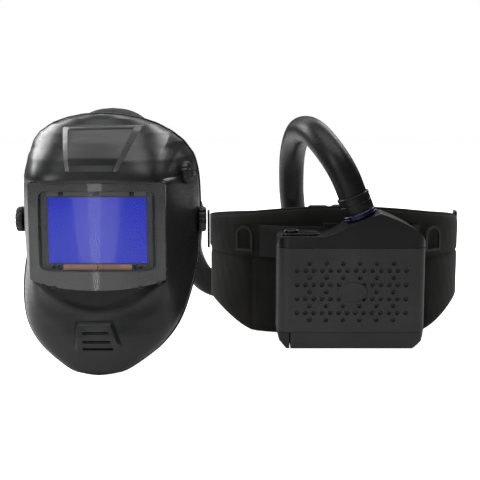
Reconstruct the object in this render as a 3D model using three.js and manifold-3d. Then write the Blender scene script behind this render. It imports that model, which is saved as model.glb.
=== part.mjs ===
// Powered air respirator: a flip-up welding helmet with headgear and air duct,
// a breathing hose, a blower unit and a padded waist belt.
// Millimetres, +Z up, the wearer faces -Y. The origin is on the floor under the
// middle of the set. Three groups hold the pieces: the helmet about its tilt axis,
// the blower from the middle of its front bottom edge, and the belt likewise.
import * as THREE from 'three';
import { mergeVertices } from 'three/addons/utils/BufferGeometryUtils.js';
import Module from 'manifold-3d';

const wasm = await Module();
wasm.setup();

// ---------------------------------------------------------------- driving sizes
const GAP = 0.3; // between pieces that touch
const HELMET = new THREE.Vector3(-186, -52, 172); // the tilt axis at the middle
const BLOWER = new THREE.Vector3(133, -76, 0);
const BELT = new THREE.Vector3(125, -76, 0);

const SHELL_WALL = 2.6;
// rows of the helmet shell: height, half width, front, rear rim, squareness, side taper
const SHELL_ROWS = [
  [-172, 0, -148, -148, 2.2, 0],
  [-168, 27, -150, -142, 2.2, 0],
  [-160, 45, -150, -134, 2.2, 0],
  [-143, 71, -151, -119, 2.2, 0.03],
  [-126, 88, -150, -103, 2.3, 0.06],
  [-108, 99, -148, -84, 2.5, 0.1],
  [-82, 108, -147, -50, 3.2, 0.18],
  [-58, 113, -151, -12, 4.6, 0.26],
  [-30, 115, -154, 28, 5.4, 0.29],
  [0, 116, -154, 42, 5.6, 0.29],
  [34, 115.5, -154, 44, 5.6, 0.29],
  [62, 113.5, -153, 36, 5.2, 0.27],
  [87, 108, -144, 12, 3.6, 0.2],
  [105, 97, -131, -14, 2.7, 0.13],
  [118, 83, -119, -38, 2.3, 0.06],
  [128, 66, -107, -54, 2.2, 0.03],
  [135, 46, -97, -61, 2.2, 0],
  [139.4, 24, -88, -65, 2.2, 0],
  [141, 0, -81, -67, 2.2, 0],
];
const SHELL_SIDE_Y = -5; // behind this the shell's sides run straight back
const WINDOW = { halfWidth: 80, low: -67, high: 62, corner: 12 };
const LENS_FRONT = -154;
const LENS_SAG = 12; // how far the lens curves back at its side edges
const LENS_THICKNESS = 1.5;
const BEZEL_THICKNESS = 3.5;
const CARTRIDGE = { halfWidth: 66.5, low: -53, high: 61, front: -140, back: -131 };
const HOLDER_BACK = -127.5;
const BAND = { a: 78, b: 98, y: 8, wall: 2, tilt: 15, z: 28 };
const BOLT_RADIUS = 4;

const HOSE_DIAMETER = 39;
const CUFF_BORE = 16.5;
const OUTLET = new THREE.Vector3(13.3, 35, 176.8); // middle of the lock collar
const OUTLET_AXIS = new THREE.Vector3(-0.37, 0, 0.929).normalize();
const INLET = new THREE.Vector3(57.6, 118, 42.4); // end of the helmet's hose elbow
const INLET_AXIS = new THREE.Vector3(0.53, 0.62, -0.58).normalize();
const INLET_STUB = 12;
// the free hose, from the blower's cuff to the helmet's cuff
const HOSE_ROUTE = [
  [136, -41, 203], [126.5, -40, 226], [114, -31, 249], [91, 10, 280], [77, 70, 286],
  [70, 131, 273], [66, 181, 239], [67, 214, 187], [72, 243, 133], [65, 257, 79],
  [28, 255, 36], [-22, 240, 22], [-69, 216, 38], [-93, 187, 85], [-92, 156, 134],
  [-89, 133, 158], [-93, 110, 176], [-106, 92.4, 190],
];

const BLOWER_HALF = 99;
const BLOWER_DEPTH = 70;
const BATTERY_TOP = 22.3;
const SEAM_Z = 136;
const COVER_BACK = 33.7;
const WALL = 2.5;
const HOLE_PITCH = 11.1;
const HOLE_ROW = 9.5;
const HOLE_RADIUS = 3;
const HOLE_ROWS = 9;
const BADGE = { x: 1.5, z: 77.5, a: 19, b: 12.5 };

const WEB_LOW = 110;
const WEB_HIGH = 155;
const WEB_THICKNESS = 2;
const LOOP = { half: 185, y: 225, front: 139, frontPower: 2.4, rear: 47, rearPower: 2.6 };
const PAD_THICKNESS = 12;

// ---------------------------------------------------------------- materials
function finish(color, roughness, metalness = 0) {
  return new THREE.MeshStandardMaterial({ color, roughness, metalness });
}
const SHELL_BLACK = finish(0x2b2c2e, 0.35);
const HOUSING = finish(0x2e2f31, 0.5);
const HOUSING_DARK = finish(0x1d1e20, 0.55);
const TRIM_BLACK = finish(0x161718, 0.6);
const CLEAR = finish(0xaab4bd, 0.08);
const FILTER_BLUE = finish(0x1c2ea8, 0.12);
const SOLAR = finish(0x6b3a22, 0.3);
const CLOTH = finish(0x1b1c1a, 0.9);
const WEBBING = finish(0x141414, 0.85);
const HOSE_BLACK = finish(0x202123, 0.5);
const COLLAR_BLUE = finish(0x1b1f63, 0.4);
const MOTOR_STEEL = finish(0x8d9094, 0.35, 0.9);
const MESH_STEEL = finish(0x77797c, 0.4, 0.9);
const FILTER_WHITE = finish(0xd9dad5, 0.9);
const FILTER_CASE = finish(0xc8c9c6, 0.6);
const SEAL_RUBBER = finish(0x101010, 0.8);
const BOARD_GREEN = finish(0x1f5a35, 0.5);
const CELL_WRAP = finish(0x2d6f8f, 0.4);

// ---------------------------------------------------------------- solids
function toSolid(geometry) {
  const loose = geometry.index ? geometry.toNonIndexed() : geometry.clone();
  loose.deleteAttribute('normal');
  loose.deleteAttribute('uv');
  const merged = mergeVertices(loose, 1e-3);
  const points = merged.attributes.position.array;
  const triangles = [];
  let volume = 0;
  const [a, b, c] = [new THREE.Vector3(), new THREE.Vector3(), new THREE.Vector3()];
  for (let i = 0; i < merged.index.count; i += 3) {
    const ids = [0, 1, 2].map((k) => merged.index.getX(i + k));
    if (new Set(ids).size < 3) continue;
    [a, b, c].forEach((corner, k) => corner.fromArray(points, ids[k] * 3));
    volume += a.dot(b.clone().cross(c));
    triangles.push(ids);
  }
  const facing = volume < 0 ? triangles.map((t) => [t[0], t[2], t[1]]) : triangles;
  return new wasm.Manifold(new wasm.Mesh({
    numProp: 3,
    vertProperties: new Float32Array(points),
    triVerts: new Uint32Array(facing.flat()),
  }));
}

function toGeometry(solid) {
  const mesh = solid.getMesh();
  const geometry = new THREE.BufferGeometry();
  geometry.setAttribute('position', new THREE.BufferAttribute(mesh.vertProperties, 3));
  geometry.setIndex(new THREE.BufferAttribute(mesh.triVerts, 1));
  const flat = geometry.toNonIndexed();
  flat.computeVertexNormals();
  return flat;
}

function cut(body, ...tools) {
  return toGeometry(tools.reduce((left, tool) => left.subtract(toSolid(tool)), toSolid(body)));
}

function join(first, ...others) {
  return toGeometry(others.reduce((sum, other) => sum.add(toSolid(other)), toSolid(first)));
}

function common(first, second) {
  return toGeometry(toSolid(first).intersect(toSolid(second)));
}

function part(group, name, geometry, material) {
  const mesh = new THREE.Mesh(toGeometry(toSolid(geometry)), material);
  mesh.name = name;
  group.add(mesh);
}

// ---------------------------------------------------------------- shapes
function block(x0, x1, y0, y1, z0, z1) {
  const box = new THREE.BoxGeometry(x1 - x0, y1 - y0, z1 - z0);
  return box.translate((x0 + x1) / 2, (y0 + y1) / 2, (z0 + z1) / 2);
}

function outline(points) {
  return new THREE.Shape(points.map(([a, b]) => new THREE.Vector2(a, b)));
}

function roundedOutline(a0, a1, b0, b1, radius) {
  const shape = new THREE.Shape();
  shape.absarc(a1 - radius, b0 + radius, radius, -Math.PI / 2, 0, false);
  shape.absarc(a1 - radius, b1 - radius, radius, 0, Math.PI / 2, false);
  shape.absarc(a0 + radius, b1 - radius, radius, Math.PI / 2, Math.PI, false);
  shape.absarc(a0 + radius, b0 + radius, radius, Math.PI, 1.5 * Math.PI, false);
  return shape;
}

function ellipseOutline(a, b, radiusA, radiusB = radiusA) {
  const shape = new THREE.Shape();
  shape.absellipse(a, b, radiusA, radiusB, 0, 2 * Math.PI, false);
  return shape;
}

function extrude(shape, depth, curveSegments) {
  return new THREE.ExtrudeGeometry(shape, { depth, bevelEnabled: false, curveSegments });
}

// a plan outline (x, y) from z0 up to z1
function planPrism(shape, z0, z1, segments = 5) {
  return extrude(shape, z1 - z0, segments).translate(0, 0, z0);
}

// a front outline (x, z) from y0 back to y1
function frontPrism(shape, y0, y1, segments = 5) {
  return extrude(shape, y1 - y0, segments).rotateX(Math.PI / 2).translate(0, y1, 0);
}

// a side outline (y, z) from x0 to x1
function sidePrism(shape, x0, x1, segments = 5) {
  const basis = new THREE.Matrix4().makeBasis(
    new THREE.Vector3(0, 1, 0), new THREE.Vector3(0, 0, 1), new THREE.Vector3(1, 0, 0));
  return extrude(shape, x1 - x0, segments).applyMatrix4(basis).translate(x0, 0, 0);
}

// a round bar from one point towards another, with a bore where one is given
function rod(start, axis, length, radius, sides = 24, bore = 0) {
  const profile = [[bore, 0], [radius, 0], [radius, length], [bore, length], [bore, 0]];
  const lathe = new THREE.LatheGeometry(profile.map(([r, h]) => new THREE.Vector2(r, h)), sides);
  const turn = new THREE.Quaternion().setFromUnitVectors(new THREE.Vector3(0, 1, 0), axis);
  return lathe.applyQuaternion(turn).translate(start.x, start.y, start.z);
}

function along(point, axis, distance) {
  return point.clone().addScaledVector(axis, distance);
}

function power(value, exponent) {
  return Math.sign(value) * Math.abs(value) ** exponent;
}

function smooth(t) {
  const s = Math.min(1, Math.max(0, t));
  return s * s * (3 - 2 * s);
}

function trianglesToGeometry(triangles) {
  const flat = triangles.flatMap((t) => t.flatMap((p) => [p.x, p.y, p.z]));
  const geometry = new THREE.BufferGeometry();
  geometry.setAttribute('position', new THREE.Float32BufferAttribute(flat, 3));
  return geometry;
}

// a closed solid through rings of points, capped at both ends
function loft(rings) {
  const triangles = [];
  const count = rings[0].length;
  for (let i = 0; i + 1 < rings.length; i += 1) {
    for (let k = 0; k < count; k += 1) {
      const n = (k + 1) % count;
      triangles.push([rings[i][k], rings[i][n], rings[i + 1][n]]);
      triangles.push([rings[i][k], rings[i + 1][n], rings[i + 1][k]]);
    }
  }
  const caps = [[rings[0], true], [rings[rings.length - 1], false]];
  for (const [ring, reversed] of caps) {
    const middle = new THREE.Vector3();
    ring.forEach((p) => middle.addScaledVector(p, 1 / count));
    for (let k = 0; k < count; k += 1) {
      const n = (k + 1) % count;
      triangles.push(reversed ? [middle, ring[n], ring[k]] : [middle, ring[k], ring[n]]);
    }
  }
  return trianglesToGeometry(triangles);
}

// a closed sheet between two grids of points with the same rows and columns
function thickSheet(front, back) {
  const triangles = [];
  const quad = (a, b, c, d) => triangles.push([a, b, c], [a, c, d]);
  const rows = front.length;
  const columns = front[0].length;
  for (let i = 0; i + 1 < rows; i += 1) {
    for (let j = 0; j + 1 < columns; j += 1) {
      quad(front[i][j], front[i][j + 1], front[i + 1][j + 1], front[i + 1][j]);
      quad(back[i][j], back[i + 1][j], back[i + 1][j + 1], back[i][j + 1]);
    }
    const last = columns - 1;
    quad(front[i][0], front[i + 1][0], back[i + 1][0], back[i][0]);
    quad(front[i][last], back[i][last], back[i + 1][last], front[i + 1][last]);
  }
  for (let j = 0; j + 1 < columns; j += 1) {
    const last = rows - 1;
    quad(front[0][j], back[0][j], back[0][j + 1], front[0][j + 1]);
    quad(front[last][j], front[last][j + 1], back[last][j + 1], back[last][j]);
  }
  return trianglesToGeometry(triangles);
}

// ---------------------------------------------------------------- helmet shell
function shellRow([z, halfWidth, front, rim, squareness, taper]) {
  const middle = Math.min(rim, SHELL_SIDE_Y);
  const points = [];
  for (const back of [1, 0.5]) {
    points.push(new THREE.Vector3(-halfWidth, middle + (rim - middle) * back, z));
  }
  const steps = 20;
  for (let j = 0; j <= steps; j += 1) {
    const angle = (j / steps - 0.5) * Math.PI;
    const forward = power(Math.cos(angle), 2 / squareness);
    const x = halfWidth * (1 - taper * forward) * power(Math.sin(angle), 2 / squareness);
    const y = middle - (middle - front) * forward;
    points.push(new THREE.Vector3(x, y, z));
  }
  for (const back of [0.5, 1]) {
    points.push(new THREE.Vector3(halfWidth, middle + (rim - middle) * back, z));
  }
  return points;
}

function gridNormals(grid) {
  const sums = new Map();
  const key = (p) => `${p.x.toFixed(2)},${p.y.toFixed(2)},${p.z.toFixed(2)}`;
  const addTriangle = (a, b, c) => {
    const normal = b.clone().sub(a).cross(c.clone().sub(a));
    for (const p of [a, b, c]) {
      sums.set(key(p), (sums.get(key(p)) ?? new THREE.Vector3()).add(normal));
    }
  };
  for (let i = 0; i + 1 < grid.length; i += 1) {
    for (let j = 0; j + 1 < grid[0].length; j += 1) {
      addTriangle(grid[i][j], grid[i][j + 1], grid[i + 1][j + 1]);
      addTriangle(grid[i][j], grid[i + 1][j + 1], grid[i + 1][j]);
    }
  }
  return grid.map((row) => row.map((p) => sums.get(key(p)).clone().normalize()));
}

function inset(grid, distance) {
  const normals = gridNormals(grid);
  return grid.map((row, i) => row.map((p, j) => along(p, normals[i][j], -distance)));
}

function windowPrism(margin, y0, y1) {
  const w = WINDOW.halfWidth + margin;
  const shape = roundedOutline(-w, w, WINDOW.low - margin, WINDOW.high + margin, WINDOW.corner);
  return frontPrism(shape, y0, y1);
}

function helmetShell() {
  const outer = SHELL_ROWS.map(shellRow);
  const body = thickSheet(outer, inset(outer, SHELL_WALL));
  const across = new THREE.Vector3(1, 0, 0);
  const boltHole = rod(new THREE.Vector3(-130, 0, 0), across, 260, BOLT_RADIUS + 0.4);
  const knobHole = rod(along(SHADE_BASE, SHADE_AXIS, -15), SHADE_AXIS, 30, 3.4, 16);
  const slots = [-117, -127, -137].map((z) => block(-15, 15, -170, -120, z - 1.5, z + 1.5));
  return cut(body, windowPrism(GAP, -170, -110), boltHole, knobHole, ...slots);
}

const SHADE_BASE = new THREE.Vector3(100.5, -66, 67);
const SHADE_AXIS = new THREE.Vector3(0.955, -0.27, 0.11).normalize();

// ---------------------------------------------------------------- window
// a cylinder-curved plate that follows the lens, its front face at y0 on the middle
function curvedPlate(y0, thickness, halfWidth, low, high) {
  const steps = 10;
  const front = [];
  const back = [];
  for (let i = 0; i <= steps; i += 1) {
    const x = halfWidth * (2 * i / steps - 1);
    const y = y0 + LENS_SAG * (x / WINDOW.halfWidth) ** 2;
    front.push([x, y]);
    back.unshift([x, y + thickness]);
  }
  return planPrism(outline([...front, ...back]), low, high);
}

function coverLens() {
  const plate = curvedPlate(LENS_FRONT, LENS_THICKNESS, 81, WINDOW.low - 1, WINDOW.high + 1);
  return common(plate, windowPrism(0, -170, -120));
}

function lensBezel() {
  const front = LENS_FRONT + LENS_THICKNESS + GAP;
  const plate = curvedPlate(front, BEZEL_THICKNESS, 81, WINDOW.low - 1, WINDOW.high + 1);
  const opening = frontPrism(roundedOutline(-70, 71, -44.5, 52, 8), -170, -120);
  return cut(common(plate, windowPrism(0, -170, -120)), opening);
}

function cartridgeHolder() {
  const c = CARTRIDGE;
  const block1 = block(-c.halfWidth - 4, c.halfWidth + 4, -152, HOLDER_BACK, c.low - 4, c.high + 4);
  const w = c.halfWidth + GAP;
  const pocket = block(-w, w, -160, c.back + 1.8, c.low - GAP, c.high + GAP);
  const mouth = block(-56, 56, -160, -100, -44, 50);
  const front = LENS_FRONT + LENS_THICKNESS + GAP - 20;
  const clearance = curvedPlate(front, BEZEL_THICKNESS + 20 + GAP, 90, -80, 80);
  const corners = [[-72, -62], [62, 72]].map(([x0, x1]) => block(x0, x1, -160, -120,
    WINDOW.high - 0.1, WINDOW.high + 10));
  return cut(block1, pocket, mouth, clearance, ...corners);
}

const GLASS = { low: -36, high: 43.5, halfWidth: 59 };
const SOLAR_PANEL = { low: -44.5, high: -37.5, halfWidth: 41 };

function filterCartridge() {
  const c = CARTRIDGE;
  const body = block(-c.halfWidth, c.halfWidth, c.front, c.back, c.low, c.high);
  const w = GLASS.halfWidth + GAP;
  const glassWay = block(-w, w, -170, -100, GLASS.low - GAP, GLASS.high + GAP);
  const s = SOLAR_PANEL.halfWidth + GAP;
  const solarWay = block(-s, s, -170, c.front + 1.5,
    SOLAR_PANEL.low - GAP, SOLAR_PANEL.high + GAP);
  return cut(body, glassWay, solarWay);
}

function faceSeal() {
  const rimSide = [
    [0, -134, -155], [34, -128, -150], [62, -112, -136], [86, -86, -113],
    [100, -52, -84], [107, -16, -58], [108, 8, -34],
  ];
  const faceSide = [
    [0, -92, -122], [22, -89, -121], [42, -76, -115], [60, -54, -103],
    [74, -28, -80], [82, -2, -52], [85, 10, -34],
  ];
  const mirrored = (line) => [...line.slice(1).reverse().map(([x, y, z]) => [-x, y, z]), ...line];
  const toVectors = (line) => mirrored(line).map((p) => new THREE.Vector3(...p));
  const [rim, face] = [toVectors(rimSide), toVectors(faceSide)];
  const rows = [0, 0.5, 1].map((t) => rim.map((p, i) => p.clone().lerp(face[i], t)));
  return thickSheet(rows, inset(rows, 2));
}

function shadeKnob() {
  const disc = rod(along(SHADE_BASE, SHADE_AXIS, 0.4), SHADE_AXIS, 6, 14, 20);
  const stem = rod(along(SHADE_BASE, SHADE_AXIS, -8), SHADE_AXIS, 9, 3, 12);
  return join(disc, stem);
}

// ---------------------------------------------------------------- headgear
// points on the tilted headband ellipse: angle 0 is the forehead
function bandPoint(angle, grow, lift) {
  const tilt = THREE.MathUtils.degToRad(BAND.tilt);
  const x = (BAND.a + grow) * Math.sin(angle);
  const run = -(BAND.b + grow) * Math.cos(angle);
  const y = BAND.y + run * Math.cos(tilt) + lift * Math.sin(tilt);
  const z = BAND.z - run * Math.sin(tilt) + lift * Math.cos(tilt);
  return new THREE.Vector3(x, y, z);
}

function bandStrip(from, to, steps, inner, outer, lowLift, highLift) {
  const rings = [];
  for (let i = 0; i <= steps; i += 1) {
    const angle = THREE.MathUtils.degToRad(from + (to - from) * i / steps);
    rings.push([
      bandPoint(angle, inner, lowLift), bandPoint(angle, outer, lowLift),
      bandPoint(angle, outer, highLift), bandPoint(angle, inner, highLift),
    ]);
  }
  return loft(rings);
}

function crownStrap() {
  const rings = [];
  for (let i = 0; i <= 16; i += 1) {
    const angle = Math.PI * i / 16;
    const ring = [[0, -10], [1.8, -10], [1.8, 10], [0, 10]].map(([grow, dy]) => new THREE.Vector3(
      -(81 + grow) * Math.cos(angle), 30 + dy, 24 + (82 + grow) * Math.sin(angle)));
    rings.push(ring);
  }
  return loft(rings);
}

function ratchetHousing() {
  const middle = bandPoint(Math.PI, 5, 0);
  const body = frontPrism(roundedOutline(-34, 34, middle.z - 17, middle.z + 17, 12),
    middle.y, middle.y + 12);
  const shaft = rod(new THREE.Vector3(0, middle.y - 4, middle.z), new THREE.Vector3(0, 1, 0), 30, 4.5);
  return cut(body, shaft);
}

function ratchetKnob() {
  const middle = bandPoint(Math.PI, 5, 0);
  const back = new THREE.Vector3(0, 1, 0);
  const disc = rod(new THREE.Vector3(0, middle.y + 12.5, middle.z), back, 15, 21, 24);
  const stem = rod(new THREE.Vector3(0, middle.y + 1, middle.z), back, 13, 4, 16);
  return join(disc, stem);
}

function pivotBracket(side) {
  const plate = sidePrism(roundedOutline(-17, 17, -14, 44, 10), 81.5, 84.5);
  return side > 0 ? plate : plate.scale(-1, 1, 1);
}

function pivotBolt(side) {
  const axis = new THREE.Vector3(side, 0, 0);
  const shoulder = rod(new THREE.Vector3(side * 84.8, 0, 0), axis, 27.8, 8);
  const shank = rod(new THREE.Vector3(side * 112, 0, 0), axis, 11, BOLT_RADIUS);
  return join(shoulder, shank);
}

function pivotKnob(side) {
  const axis = new THREE.Vector3(side, 0, 0);
  const disc = rod(new THREE.Vector3(side * 116.5, 0, 0), axis, 9.5, 17, 24);
  const bore = rod(new THREE.Vector3(side * 115, 0, 0), axis, 8.5, BOLT_RADIUS + 0.4);
  return cut(disc, bore);
}

// ---------------------------------------------------------------- air duct
// the duct runs over the crown; angle 0 is straight ahead, 90 straight up
const DUCT = { front: 43, joint: 61.5, back: 148, sideStep: 38, drop: 10 };

function ductRing(angle, shrink) {
  const turn = THREE.MathUtils.degToRad(angle);
  const outer = 125 + 26 * smooth((angle - 64) / 44) - shrink;
  const inner = 112 + 13 * smooth((angle - 40) / 110) + shrink;
  const halfWidth = 50 - 8 * smooth((angle - 50) / 30) - 13 * smooth((angle - 110) / 38) - shrink;
  const shift = DUCT.sideStep * smooth((angle - 98) / 50);
  const ring = [];
  for (let k = 0; k < 20; k += 1) {
    const a = 2 * Math.PI * k / 20;
    const across = halfWidth * power(Math.cos(a), 0.5);
    const radial = (outer - inner) / 2 * power(Math.sin(a), 0.6);
    const drop = DUCT.drop * (across / 42) ** 2;
    const radius = (outer + inner) / 2 + radial - drop;
    ring.push(new THREE.Vector3(
      shift + across, -radius * Math.cos(turn), radius * Math.sin(turn)));
  }
  return ring;
}

function ductStretch(from, to, steps) {
  const ringsAt = (start, end, shrink) => Array.from({ length: steps + 1 },
    (_, i) => ductRing(start + (end - start) * i / steps, shrink));
  return cut(loft(ringsAt(from, to, 0)), loft(ringsAt(from - 1, to + 1, 2)));
}

function circleRing(centre, axis, radius) {
  const side = new THREE.Vector3(0, axis.z, -axis.y).normalize().cross(axis);
  const up = side.clone().cross(axis);
  return Array.from({ length: 20 }, (_, k) => {
    const a = 2 * Math.PI * k / 20;
    return centre.clone().addScaledVector(side, radius * Math.cos(a))
      .addScaledVector(up, radius * Math.sin(a));
  });
}

function hoseInlet() {
  const shape = (shrink, startAngle, over) => loft([
    ductRing(startAngle, shrink),
    circleRing(INLET, INLET_AXIS, 20 - shrink),
    circleRing(along(INLET, INLET_AXIS, INLET_STUB + over), INLET_AXIS, 20 - shrink),
  ]);
  return cut(shape(0, DUCT.back + 0.2, 0), shape(2.2, DUCT.back - 0.6, 2));
}

// ---------------------------------------------------------------- helmet group
function buildHelmet(group) {
  part(group, 'helmet_shell', helmetShell(), SHELL_BLACK);
  part(group, 'cover_lens', coverLens(), CLEAR);
  part(group, 'lens_bezel', lensBezel(), TRIM_BLACK);
  part(group, 'cartridge_holder', cartridgeHolder(), TRIM_BLACK);
  part(group, 'filter_cartridge', filterCartridge(), TRIM_BLACK);
  part(group, 'filter_glass', block(-GLASS.halfWidth, GLASS.halfWidth, -138.5, -133.5,
    GLASS.low, GLASS.high), FILTER_BLUE);
  part(group, 'solar_panel', block(-SOLAR_PANEL.halfWidth, SOLAR_PANEL.halfWidth,
    CARTRIDGE.front, CARTRIDGE.front + 1.2, SOLAR_PANEL.low, SOLAR_PANEL.high), SOLAR);
  part(group, 'inner_lens', block(-62, 62, CARTRIDGE.back + GAP, CARTRIDGE.back + 1.5,
    -50, 57), CLEAR);
  part(group, 'face_seal', faceSeal(), CLOTH);
  part(group, 'shade_knob', shadeKnob(), TRIM_BLACK);

  part(group, 'headband', bandStrip(-150, 150, 30, 0, BAND.wall, -14, 14), TRIM_BLACK);
  part(group, 'sweatband', bandStrip(-60, 60, 12, -8, -GAP, -15, 15), CLOTH);
  part(group, 'band_tail_left', bandStrip(-178, -150.4, 3, 0, BAND.wall, -6, 6), TRIM_BLACK);
  part(group, 'band_tail_right', bandStrip(150.4, 178, 3, 0, BAND.wall, -6, 6), TRIM_BLACK);
  part(group, 'ratchet_housing', ratchetHousing(), TRIM_BLACK);
  part(group, 'ratchet_knob', ratchetKnob(), TRIM_BLACK);
  part(group, 'nape_pad', bandStrip(152, 208, 8, -8, -1, -16, 16), CLOTH);
  part(group, 'crown_strap', crownStrap(), TRIM_BLACK);
  for (const [side, label] of [[-1, 'left'], [1, 'right']]) {
    part(group, `pivot_bracket_${label}`, pivotBracket(side), TRIM_BLACK);
    part(group, `pivot_bolt_${label}`, pivotBolt(side), TRIM_BLACK);
    part(group, `pivot_knob_${label}`, pivotKnob(side), TRIM_BLACK);
  }
  part(group, 'air_duct', ductStretch(DUCT.joint + 0.4, DUCT.back, 12), HOUSING_DARK);
  part(group, 'air_diffuser', ductStretch(DUCT.front, DUCT.joint, 3), HOUSING_DARK);
  part(group, 'hose_inlet', hoseInlet(), HOUSING_DARK);
  const cuffStart = along(INLET, INLET_AXIS, INLET_STUB + GAP);
  part(group, 'helmet_cuff', rod(cuffStart, INLET_AXIS, 28, 22.5, 24, CUFF_BORE), HOSE_BLACK);
}

// ---------------------------------------------------------------- hose
function hoseTube() {
  const route = new THREE.CatmullRomCurve3(HOSE_ROUTE.map((p) => new THREE.Vector3(...p)));
  const section = [];
  for (let k = 0; k < 12; k += 1) {
    const a = 2 * Math.PI * k / 12;
    section.push([HOSE_DIAMETER / 2 * Math.cos(a), HOSE_DIAMETER / 2 * Math.sin(a)]);
  }
  return new THREE.ExtrudeGeometry(outline(section), { steps: 32, extrudePath: route });
}

// ---------------------------------------------------------------- blower
function topOutline(inward) {
  const w = BLOWER_HALF - inward;
  const shape = new THREE.Shape();
  shape.moveTo(-w, SEAM_Z + GAP);
  shape.lineTo(w, SEAM_Z + GAP);
  shape.lineTo(w, 141 - inward);
  shape.quadraticCurveTo(w - 1, 152 - inward, 78 - inward * 0.5, 164 - inward);
  shape.quadraticCurveTo(58 - inward * 0.5, 175 - inward, 37 - inward * 0.6, 181.5 - inward);
  shape.lineTo(-7 + inward * 0.3, 164 - inward);
  shape.quadraticCurveTo(-24, 151.5 - inward, -42, 151 - inward);
  shape.lineTo(-w + 10, 151 - inward);
  shape.quadraticCurveTo(-w, 150 - inward, -w, 141 - inward);
  return shape;
}

function roundedBox(halfWidth, y0, y1, z0, z1, radius) {
  return planPrism(roundedOutline(-halfWidth, halfWidth, y0, y1, radius), z0, z1);
}

function topHousing() {
  const outer = common(frontPrism(topOutline(0), 0, BLOWER_DEPTH),
    roundedBox(BLOWER_HALF, 0, BLOWER_DEPTH, 120, 200, 18));
  const inner = common(frontPrism(topOutline(WALL), WALL, BLOWER_DEPTH - WALL),
    roundedBox(BLOWER_HALF - WALL, WALL, BLOWER_DEPTH - WALL, 120, 200, 16));
  const mouth = roundedBox(BLOWER_HALF - WALL, WALL, BLOWER_DEPTH - WALL, 120, 137.5, 16);
  const spigotHole = rod(along(OUTLET, OUTLET_AXIS, -30), OUTLET_AXIS, 40, 16.4);
  const buttonHole = block(-88, -70, 24, 44, 145, 160);
  return cut(outer, inner, mouth, spigotHole, buttonHole);
}

function rearHousing() {
  const y0 = COVER_BACK + GAP;
  const box = (x, front, back, z0, z1, radius) => common(
    roundedBox(x, front - 60, back, z0, z1, radius), block(-120, 120, front, 80, z0, z1));
  const outer = box(BLOWER_HALF, y0, BLOWER_DEPTH, BATTERY_TOP + GAP, SEAM_Z - GAP, 18);
  const inner = box(BLOWER_HALF - WALL, y0 + WALL, BLOWER_DEPTH - WALL,
    BATTERY_TOP + GAP + WALL, SEAM_Z + 5, 16);
  const inletHole = rod(new THREE.Vector3(FAN.x, 30, FAN.z), new THREE.Vector3(0, 1, 0), 10, 27);
  return cut(outer, inner, inletHole);
}

function holePattern() {
  const holes = [];
  const low = BADGE.z - HOLE_ROW * (HOLE_ROWS - 1) / 2;
  for (let row = 0; row < HOLE_ROWS; row += 1) {
    const dense = row % 2 === 1;
    const count = dense ? 14 : 6;
    const pitch = dense ? HOLE_PITCH : 2 * HOLE_PITCH;
    for (let k = 0; k < count; k += 1) {
      const x = BADGE.x - 1.5 + (k - (count - 1) / 2) * pitch;
      const z = low + row * HOLE_ROW;
      const inBadge = ((x - BADGE.x) / (BADGE.a + 3.6)) ** 2 + ((z - BADGE.z) / (BADGE.b + 3.6)) ** 2;
      if (inBadge > 1) holes.push([x, z]);
    }
  }
  return holes;
}

function filterCover() {
  const outer = common(roundedBox(BLOWER_HALF, 0, 100, BATTERY_TOP + GAP, SEAM_Z - GAP, 18),
    block(-120, 120, 0, COVER_BACK, 0, 200));
  const inner = roundedBox(BLOWER_HALF - WALL, WALL, 100,
    BATTERY_TOP + GAP + WALL, SEAM_Z - GAP - WALL, 16);
  const holes = holePattern().map(([x, z]) => new THREE.CylinderGeometry(
    HOLE_RADIUS, HOLE_RADIUS, 8, 8).translate(x, 1, z));
  return cut(outer, inner, ...holes);
}

function particleFilter() {
  return block(-84, 84, 9, 31.5, 30, 129);
}

function filterSeal() {
  const ring = roundedOutline(-82, 82, 32, 127, 6);
  const opening = frontPrism(roundedOutline(-76, 76, 38, 121, 4), 31, 35);
  return cut(frontPrism(ring, 31.8, 33.9), opening);
}

const FAN = { x: -8, z: 82, wheel: 30 };

function fanScroll() {
  const spiral = (inward) => {
    const shape = new THREE.Shape();
    const points = [];
    for (let k = 0; k <= 20; k += 1) {
      const a = THREE.MathUtils.degToRad(90 + 300 * k / 20);
      const radius = 34 + 12 * k / 20 - inward;
      points.push([FAN.x + radius * Math.cos(a), FAN.z + radius * Math.sin(a)]);
    }
    points.push([FAN.x + 45 - inward, 133 + inward], [FAN.x + 6 + inward, 133 + inward]);
    shape.setFromPoints(points.map(([a, b]) => new THREE.Vector2(a, b)));
    return shape;
  };
  const body = frontPrism(spiral(0), 37, 60);
  const hollow = frontPrism(spiral(2), 39, 58);
  const inlet = rod(new THREE.Vector3(FAN.x, 30, FAN.z), new THREE.Vector3(0, 1, 0), 12, 25);
  const shaftWay = rod(new THREE.Vector3(FAN.x, 50, FAN.z), new THREE.Vector3(0, 1, 0), 15, 4);
  return cut(body, hollow, inlet, shaftWay);
}

function impeller() {
  const back = new THREE.Vector3(0, 1, 0);
  const disc = rod(new THREE.Vector3(FAN.x, 54, FAN.z), back, 2, FAN.wheel - 1, 24);
  const hub = rod(new THREE.Vector3(FAN.x, 43, FAN.z), back, 12, 8, 16);
  const blades = Array.from({ length: 10 }, (_, k) => block(8, 23, -0.7, 0.7, 42, 54.5)
    .applyMatrix4(bladeFrame(k)));
  return cut(join(disc, hub, ...blades),
    rod(new THREE.Vector3(FAN.x, 48, FAN.z), back, 20, 2.4, 12));
}

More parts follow.
